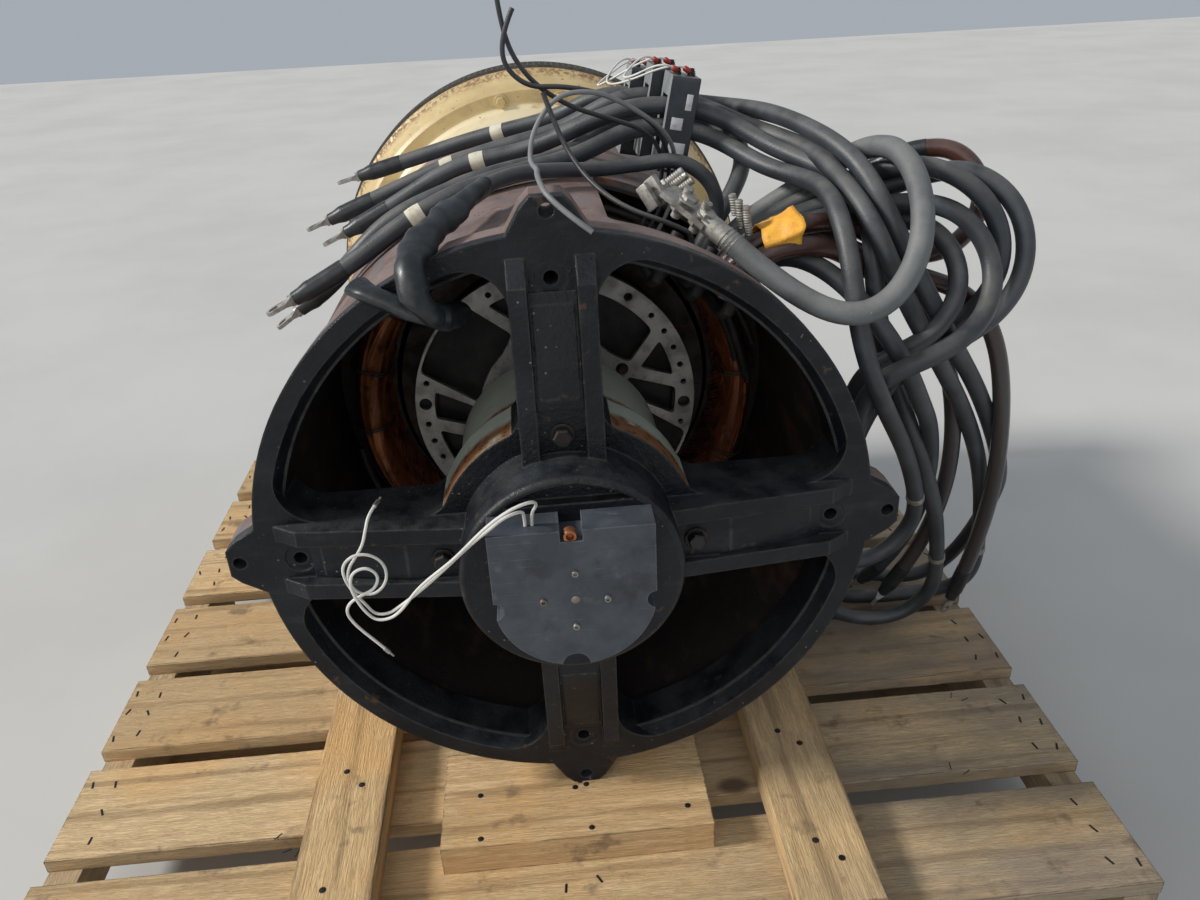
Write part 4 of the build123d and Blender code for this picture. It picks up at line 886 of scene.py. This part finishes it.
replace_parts(tails.make("winding_tails", VARNISH, sharp=60), "lead_bundle")
links = Shape()
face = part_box("front_winding")[0][1]
for k, (radius, first, last) in enumerate(((240, 20, 78), (250, 12, 86), (261, 16, 74),
                                           (246, 84, 52), (257, 205, 262), (248, 196, 240))):
    links.add(swept([around(radius + 2.5 * sin(5 * t + k), first + (last - first) * t,
                            face - (3 + 2 * sin(4 * t + 2 * k) - 5 * abs(2 * t - 1) ** 4) * MM)
                     for t in (j / 14 for j in range(15))], oval(12, 9, 10)))
links.make("coil_links", VARNISH, sharp=60)


# Balance ring


def rounded(corners, radius, steps=4):
    """A closed outline with its corners rounded."""
    outline = []
    for i, here in enumerate(corners):
        before, after = corners[i - 1] - here, corners[(i + 1) % len(corners)] - here
        reach = min(radius, before.length * 0.45, after.length * 0.45)
        a, b = here + before.normalized() * reach, here + after.normalized() * reach
        for t in (step / steps for step in range(steps + 1)):
            outline.append(a * (1 - t) ** 2 + here * 2 * t * (1 - t) + b * t * t)
    return outline


def polar(radius, angle):
    return Vector((radius * sin(radians(angle)), radius * cos(radians(angle))))


def circle(centre, radius, steps=16):
    return [centre + polar(radius, k * 360 / steps) for k in range(steps)]


def arc(radius, first, last, steps=4):
    return [polar(radius, first + (last - first) * k / steps) for k in range(steps + 1)]


def plate(name, outlines, thickness, place, material, body):
    """A flat plate with holes and eased edges, from outlines in millimetres."""
    ease = 0.5
    curve = bpy.data.curves.new(name, "CURVE")
    curve.dimensions = "2D"
    curve.fill_mode = "BOTH"
    curve.bevel_depth = ease * MM
    curve.bevel_resolution = 1
    curve.offset = -ease * MM
    curve.extrude = (thickness / 2 - ease) * MM
    for outline in outlines:
        spline = curve.splines.new("POLY")
        spline.points.add(len(outline) - 1)
        for point, (x, y) in zip(spline.points, outline):
            point.co = (x * MM, y * MM, 0, 1)
        spline.use_cyclic_u = True
    curve.materials.append(material)
    return placed(name, curve, body, place)


HOLES_RADIUS = 168.5
ARM_BOLTS_RADIUS = 97


def ring_outlines():
    """The ring's edge, its holes, and the four sets of windows round its arms."""
    edge, bore, rim, thin_rim, hub = 182, 60.2, 156.5, 178, 97
    outlines = [circle(Vector((0, 0)), edge, 120), circle(Vector((0, 0)), bore, 60)]
    for half in (0, 180):
        for k, angle in enumerate((-26, -8, 1, 10, 19, 36, 49.2, 58.4, 67.1, 75.8, 84.3, 94, 103.9)):
            outlines.append(circle(polar(HOLES_RADIUS, half + angle), {5: 5.5, 11: 8}.get(k, 3.6)))
    for side in range(4):
        turn = Matrix.Rotation(radians(-90 * side), 2)
        far = arc(thin_rim, 18, 53, 6) if side % 2 else arc(rim, 14.5, 54.8, 6)
        for corners, size in (
                ([*arc(rim, 61.2, 79.9), polar(119, 69.8)], 5),
                ([*arc(rim, 86.4, 100.2), polar(hub, 89.5), polar(hub, 81), polar(hub + 2, 73)], 5),
                ([*far, polar(109.5, 63.4), polar(hub, 50), polar(hub, 35), polar(hub, 20),
                  polar(hub + 2, 4.5)], 7)):
            outlines.append([turn @ p for p in rounded(corners, size)])
    return outlines


ring_low, ring_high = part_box("balance_ring")
ring_middle = (ring_low[1] + ring_high[1]) / 2
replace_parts(plate("balance_ring_plate", ring_outlines(), 8, facing_front(0, 0, ring_middle), ALLOY,
                  "rotor"), "balance_ring")
weights = Shape()
for angle in (94, 274):
    weights.block((24, 30, 4), 1.5, facing_front(HOLES_RADIUS, angle, ring_high[1] + 2.1 * MM))
for angle in (65, 155, 245, 335):
    weights.bolt(11, 6, facing_front(ARM_BOLTS_RADIUS, angle, ring_low[1]))
weights.make("ring_bolts", BOLTS, "rotor")


# Air outlet screen and arm pockets


def lattice():
    """Hoops and bars round the air outlet, whose two edge hoops reach in to the casting."""
    low, high = (corner[1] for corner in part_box("vent_screen"))
    steps, rows, inner, outer, seat = 219, 8, 358.6, 360.0, 355.3
    shape = Shape()
    for row in range(rows):
        foot, half = (seat, 1.6 * MM) if row in (0, rows - 1) else (inner, 1.2 * MM)
        middle = low + 1.6 * MM + (high - low - 3.2 * MM) * row / (rows - 1)
        shape.add(([around(radius, k * 360 / steps, y) for k in range(steps) for radius, y in (
            (foot, middle - half), (outer, middle - half), (outer, middle + half), (foot, middle + half))],
            [[a + j, a + (j + 1) % 4, b + (j + 1) % 4, b + j] for k in range(steps) for j in range(4)
             for a, b in [(k * 4, (k + 1) % steps * 4)]]))
    bar = eased_box(2.6 * MM, high - low - 2 * MM, 1.1 * MM, 0.3 * MM)
    for k in range(steps):
        shape.add(bar, facing_out((inner + outer) / 2, k * 360 / steps, (low + high) / 2))
    return shape.make("vent_lattice", SCREEN)


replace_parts(lattice(), "vent_screen")


def panel(profile, half_width, angle):
    """A plate across an arm's pocket, from its side view: radius and height off the rim's face."""
    count = len(profile)
    verts = [(x, r, out) for x in (-half_width, half_width) for r, out in profile]
    ends = [list(range(count))[::-1], list(range(count, 2 * count))]
    sides = [[i, (i + 1) % count, (i + 1) % count + count, i + count] for i in range(count)]
    return (verts, ends + sides), facing_front(0, angle, RIM_FACE) @ MILLIMETRES


floors = Shape()
for angle in QUARTERS:
    floors.add(*panel([(254, -2), (254, 1), (251, 2.5), (151, 22.5), (147, 21.8), (147, -2)], 21.9, angle))
    floors.add(*panel([(243, 0), (243, 4), (241, 5.4), (160, 21.6), (158, 20.5), (158, 0)], 18.6, angle))
floors.make("pocket_floors", CASTING)


# Bolts and studs

bolts, painted, coupling = Shape(), Shape(), Shape()
for i, angle in enumerate(QUARTERS):
    place = facing_front(124, angle, RIM_FACE - 22 * MM)
    bolts.bolt(16, 10, place @ spun(17 * i, "Z"))
    bolts.turned([(0, 0), (11, 0), (11, 1.2), (10.4, 1.8), (0, 1.8)], place)
    for side in (-9, 9):
        place = facing_front(314, angle + side, ADAPTER_FRONT + 168 * MM)
        painted.bolt(15, 9, place).turned([(0, 0), (12.5, 0), (12.5, 1.6), (11.8, 2.2), (0, 2.2)], place)
for k in range(8):
    coupling.bolt(19, 11, Matrix.Translation(around(175, k * 45 + 22.5, disc_low[1])) @ spun(90, "X"))
bolts.make("casting_bolts", BOLTS)
painted.make("painted_bolts", CREAM)

cover_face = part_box("end_cover")[0][1]
studs = Shape()
for angle in (2, 92, 182, 272):
    studs.socket_screw(3.2, 3, facing_front(29, angle, cover_face))
studs.turned([(4, 0), (4, 0.3), (3, 0.9), (0, 1.1)], facing_front(0, 0, cover_face))
studs.make("cover_studs", STEEL)
Shape().socket_screw(6.5, 8, facing_front(66, -1, cover_face + 9 * MM)).make("cover_slot_screw", COPPER)
coupling.make("coupling_bolts", BOLTS, "rotor")


# Fittings on the leads


def line_from_end(name, start, end, steps=10):
    """Points along a lead between two distances from its far end, the nearer one first."""
    line = centre_line(cables[name])[::-1]
    distances = [0.0]
    for a, b in zip(line, line[1:]):
        distances.append(distances[-1] + (b - a).length)
    points = []
    for step in range(steps + 1):
        want = (start + (end - start) * step / steps) * MM
        i = next((i for i, d in enumerate(distances) if d >= want), len(distances) - 1)
        if i == 0:
            points.append(line[0].copy())
            continue
        share = (want - distances[i - 1]) / (distances[i] - distances[i - 1])
        points.append(line[i - 1].lerp(line[i], min(1, share)))
    return points


def collar(shape, name, start, end, radius, sides=16, drawn_in=0.36):
    """A sleeve round a lead, with slightly drawn-in ends."""
    points = line_from_end(name, start, end, max(3, int((end - start) / 9)))
    verts, faces = swept(points, oval(2 * radius, 2 * radius, sides))
    for ring, centre in ((range(sides), points[0]), (range(len(verts) - sides, len(verts)), points[-1])):
        for i in ring:
            verts[i] = centre + (verts[i] - centre) * (1 - drawn_in / radius)
    shape.add((verts, faces))


shrink, labels, bands = Shape(), Shape(), Shape()
for name in lugged:
    collar(shrink, name, 0.5, 42, 10.9)
    shrink.turned([(0, -1), (10.7, -1), (10.6, 3), (8.4, 12), (7.6, 21), (0, 21)], end_place(name))
for name, start in (("lead_a", 178), ("lead_b", 140), ("lead_c", 158), ("lead_d", 128)):
    collar(labels, name, start, start + 17, 10.8)
for name, start in (("lead_c", 1240), ("lead_b", 1420), ("lead_d", 1180)):
    collar(bands, name, start, start + 9, 11.2)
shrink.make("shrink_sleeves", SHRINK, sharp=60)
labels.make("marker_sleeves", LABEL, sharp=60)
bands.make("cable_clips", TIN, sharp=60)


def flattened(line, width, height, twist, sides=16):
    """A tube pressed to a creased flat section that turns along its length."""
    points = []
    for i, point in enumerate(line):
        ahead = (line[min(i + 1, len(line) - 1)] - line[max(i - 1, 0)]).normalized()
        side = ahead.cross(Vector(UP)).normalized()
        up = side.cross(ahead)
        lean = twist * sin(2.4 * pi * i / len(line))
        crush = 1 + 0.12 * sin(i * 0.55) + 0.06 * sin(i * 1.7)
        for c, s in circuit(sides):
            x = copysign(abs(c) ** 1.25, c) * width * crush
            z = copysign(abs(s) ** 1.1, s) * height
            points.append(point + (side * (x * cos(lean) - z * sin(lean))
                                   + up * (x * sin(lean) + z * cos(lean))) * MM)
    return points, skin(len(line), sides)


def thickened(piece, thickness):
    piece.modifiers.new("thickness", "SOLIDIFY").thickness = thickness


# The black sleeve, pressed flat, where the thin lead folds over the rim, and its cut end
bend = [Vector(p) for p in ((-0.072, -0.442, 0.744), (-0.088, -0.444, 0.747), (-0.105, -0.440, 0.751),
                            (-0.122, -0.436, 0.757), (-0.138, -0.431, 0.763), (-0.151, -0.421, 0.769))]
fold = Shape().add(flattened(line_from_end("lead_f", -4, 300, 48), 12.4, 8.5, 0.9))
thickened(fold.add(flattened(bend, 12.0, 7.5, 0.3)).make("flattened_sleeve", SHRINK, sharp=70), 1.2 * MM)

# Orange tape round the brown leads
TAPE_STEPS, TAPE_RINGS = 40, 9
wrap = []
for t in (ring / (TAPE_RINGS - 1) for ring in range(TAPE_RINGS)):
    centre = Vector((0.229 + 0.038 * t, -0.296, 0.750 + 0.012 * t))
    for k, (c, s) in enumerate(circuit(TAPE_STEPS)):
        turn = 2 * pi * k / TAPE_STEPS
        fold_in = noise.noise((c * 2.2, s * 2.2, t * 1.4))
        width = (0.0305 + 0.003 * fold_in) * (0.86 + 0.14 * t)
        height = (0.0185 + 0.003 * fold_in + 0.002 * sin(3 * turn + 4 * t)) * (0.86 + 0.14 * t)
        wrap.append(centre + Vector((0.004 * noise.noise((turn, 7.0 * t, 2.0)), width * c, height * s)))
thickened(Shape().add((wrap, skin(TAPE_RINGS, TAPE_STEPS))).make("tape_wrap", TAPE, sharp=180), 0.8 * MM)


def threaded(shape, radius, length, place, pitch=2.6):
    """Add a coarse threaded stud."""
    profile = [(0, 0)]
    for turn in range(int(length / pitch)):
        profile += [(radius * 0.84, turn * pitch), (radius, (turn + 0.35) * pitch),
                    (radius, (turn + 0.6) * pitch)]
    shape.turned(profile + [(radius * 0.84, length), (0, length)], place, 16)


# Split-bolt connectors: on the grey cable's connector and on the tails beside the opening
studs = Shape()
grey_end = end_place("grey")
for z in (30, 54):
    studs.bolt(15, 6, grey_end @ at(0, -3.2, z) @ spun(90, "X"))
threaded(studs, 11.6, 16, grey_end @ at(0, 0, -10), 4.0)
for radius, foot, tip in (
        (4.0, (139, -255, 803), (158, -262, 818)), (4.0, (142, -262, 800), (161, -270, 815)),
        (4.0, (146, -270, 796), (166, -278, 811)), (4.1, (207, -288, 776), (203, -289, 797)),
        (4.1, (211, -296, 764), (208, -297, 793)), (4.1, (218, -302, 758), (214, -303, 788))):
    way = Vector(tip) - Vector(foot)
    place = pointing(Vector(foot) * MM, way)
    threaded(studs, radius, way.length, place)
    if radius == 4.0:
        studs.bolt(10, 8, place @ at(0, 0, -3))
for place, size in (((131, -270, 801), (9, 14, 30)), ((121, -278, 797), (8, 13, 27))):
    studs.block(size, 1.5, pointing(Vector(place) * MM, (-0.45, 0.35, 0.75)))
studs.make("connector_studs", TIN)
Shape().turned([(0, 0), (6.5, 0), (6.5, 5), (4.2, 6), (4.2, 12), (0, 12)],
               pointing(Vector((172, -300, 779)) * MM, (-0.8, -0.3, 0.1)), 12).make("copper_nut", COPPER)

# Current transformers: screws, ring crimps and stickers
CASE_TOP, CASE_HALF_DEPTH = 52, 31
screws, crimps, stickers = Shape(), Shape(), Shape()
jumps = []
for name in ("ct_front", "ct_middle", "ct_back"):
    low, high = (Vector(c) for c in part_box(name))
    place = Matrix.Translation((low + high) / 2) @ Matrix.Rotation(CASE_TILT, 4, "Y")
    for x in (-8, 8):
        top = place @ at(x, -8, CASE_TOP)
        screws.turned([(4.6, 0), (4.6, 2.4), (2.6, 2.6), (2.6, 8), (0, 8.4)], top)
        screws.bolt(6.5, 3, top @ at(0, 0, 3))
        out = pointing(top @ Vector((0, 0, 3.2 * MM)), (-0.72, -0.5 + 0.04 * x, 0.48))
        crimps.turned([(0, 2), (2.4, 2), (3.2, 3.5), (3.2, 10), (2.4, 11), (0, 11)], out)
        jumps.append(out @ Vector((0, 0, 10 * MM)))
    if name == "ct_front":
        for x, z, width, height in ((7, 26, 7, 17), (-3, 2, 13, 13), (1, -33, 19, 30)):
            stickers.block((width, 0.5, height), 0.2, place @ at(x, -CASE_HALF_DEPTH - 0.2, z))
screws.make("transformer_screws", BOLTS)
crimps.make("ring_crimps", RED, sharp=60)
stickers.make("blank_stickers", STICKER)
for k, (first, last) in enumerate(((0, 2), (1, 4), (3, 5))):
    a, b = jumps[first], jumps[last]
    rise = Vector((-0.012, -0.008, 0.008))
    bow = Vector((-0.045 - 0.012 * k, -0.004, -0.012 - 0.006 * k))
    piece = tube(f"white_jumper_{k + 1}", [a, a + rise, (a * 2 + b) / 3 + bow, (a + b * 2) / 3 + bow,
                                           b + rise, b], 2.4 * MM, SLEEVES["white"])
    line = centre_line(piece)

# Ends of the white wires
tips = Shape()
for name in ("white_1", "white_2"):
    before, end = (Vector(p) for p in ROUTES[name][-2:])
    tips.turned([(0, -3), (2.2, -3), (2.2, 4), (1.2, 4.6), (1.1, 9.5), (0, 10)],
                pointing(end, end - before), 12)
tips.make("wire_pins", TIN)

# Nails and staples in the pallet
nails, staples = Shape(), Shape()
for board in range(7):
    for bearer in (-1, 0, 1):
        for k in range(6):
            drift = jitter(board * 3.1, bearer * 5.3, k * 2.7)
            x = (bearer * 585 + (k % 2 - 0.5) * 30 + drift.x * 9) * MM
            y = DECK_LOW[1] + board * BOARD_PITCH + (0.2 + 0.3 * (k // 2) + 0.1 * drift.y) * BOARD_WIDTH
            if abs(x) < DECK_HIGH[0] - 8 * MM:
                nails.block((2.6, 11, 0.8), 0.3, Matrix.Translation((x, y, DECK_HIGH[2] + 0.1 * MM))
                            @ Matrix.Rotation(drift.z * 1.2, 4, "Z"))
for x, y, turn in ((-330, -447, 20), (-318, -452, 70), (-300, -440, 10), (-345, -425, 50),
                   (300, -474, 15), (312, -466, 65), (470, -430, 30), (455, -418, 80),
                   (520, -310, 20), (506, -300, 65), (-480, -290, 15), (-120, -466, 40)):
    staples.block((11, 0.9, 0.9), 0.2, at(x, y, DECK_HIGH[2] / MM + 0.35) @ spun(turn, "Z"))
for x, y in ((-107, -429), (-105, -490), (17, -489), (126, -472), (8, -421), (15, -427), (2, -430)):
    nails.turned([(3.4, -0.5), (3.4, 0.3), (3, 0.5), (0, 0.6)],
                 at(x, y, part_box("front_block")[1][2] / MM), 12)
for rail in ("rail_left", "rail_right"):
    low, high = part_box(rail)
    for k, y in enumerate((-560, -535, -395, -372)):
        nails.turned([(3.8, -0.5), (3.8, 0.3), (3.3, 0.5), (0, 0.6)], Matrix.Translation(
            ((low[0] + high[0]) / 2 + (12 - 21 * (k % 2)) * MM, y * MM, high[2])), 12)
nails.make("nail_heads", BOLTS)
staples.make("staples", BOLTS)


# Camera, floor and light

CAMERA_PLACE = (0.00487, -1.2217, 1.00577)
CAMERA_YAW = 3.325
CAMERA_PITCH = 27.258
CAMERA_ROLL = 2.978
CAMERA_LENS = 28.29
FLOOR_REACH = 12.0
SKY = (0.84, 0.91, 1.0, 1)
SKY_STRENGTH = 0.45


def make_camera():
    """The photograph's viewpoint: yaw to the right, pitch down, roll clockwise."""
    yaw, pitch, roll = radians(CAMERA_YAW), radians(CAMERA_PITCH), radians(CAMERA_ROLL)
    ahead = Vector((sin(yaw) * cos(pitch), cos(yaw) * cos(pitch), -sin(pitch)))
    level = Vector((cos(yaw), -sin(yaw), 0))
    below = ahead.cross(level)
    right = cos(roll) * level + sin(roll) * below
    down = -sin(roll) * level + cos(roll) * below
    data = bpy.data.cameras.new("camera")
    data.sensor_width = 36
    data.lens = CAMERA_LENS
    data.clip_start = 0.01
    camera = bpy.data.objects.new("camera", data)
    camera.matrix_world = Matrix.Translation(CAMERA_PLACE) @ Matrix(
        (right, -down, -ahead)).transposed().to_4x4()
    bpy.context.collection.objects.link(camera)
    bpy.context.scene.camera = camera


def make_floor():
    """A plain pale floor, which takes the shadow."""
    floor = bpy.data.meshes.new("floor")
    floor.from_pydata([(x * FLOOR_REACH, y * FLOOR_REACH, 0)
                       for x, y in ((-1, -1), (1, -1), (1, 1), (-1, 1))], [], [(0, 1, 2, 3)])
    finish = Finish("floor_grey", (0.55, 0.545, 0.53), 0.9)
    finish.paint((0.50, 0.495, 0.48), finish.blotches(900, 0.35, 0.7, 4))
    floor.materials.append(finish.done())
    piece = bpy.data.objects.new("floor", floor)
    bpy.context.collection.objects.link(piece)


def make_light():
    """A low soft sun from the left, a weak fill from the front and a bright even sky."""
    for name, place, strength, size in (("key", (-0.83, -0.02, 0.56), 3.1, 10),
                                        ("fill", (-0.3, -0.85, 0.45), 0.6, 60)):
        data = bpy.data.lights.new(name, "SUN")
        data.energy = strength
        data.angle = radians(size)
        data.color = (1.0, 0.97, 0.92)
        light = bpy.data.objects.new(name, data)
        light.rotation_euler = Vector(place).to_track_quat("Z", "Y").to_euler()
        bpy.context.collection.objects.link(light)
    world = bpy.data.worlds.new("studio")
    world.use_nodes = True
    for socket, value in enumerate((SKY, SKY_STRENGTH)):
        world.node_tree.nodes["Background"].inputs[socket].default_value = value
    bpy.context.scene.world = world


make_camera()
make_floor()
make_light()
bpy.context.scene.view_settings.view_transform = "Standard"
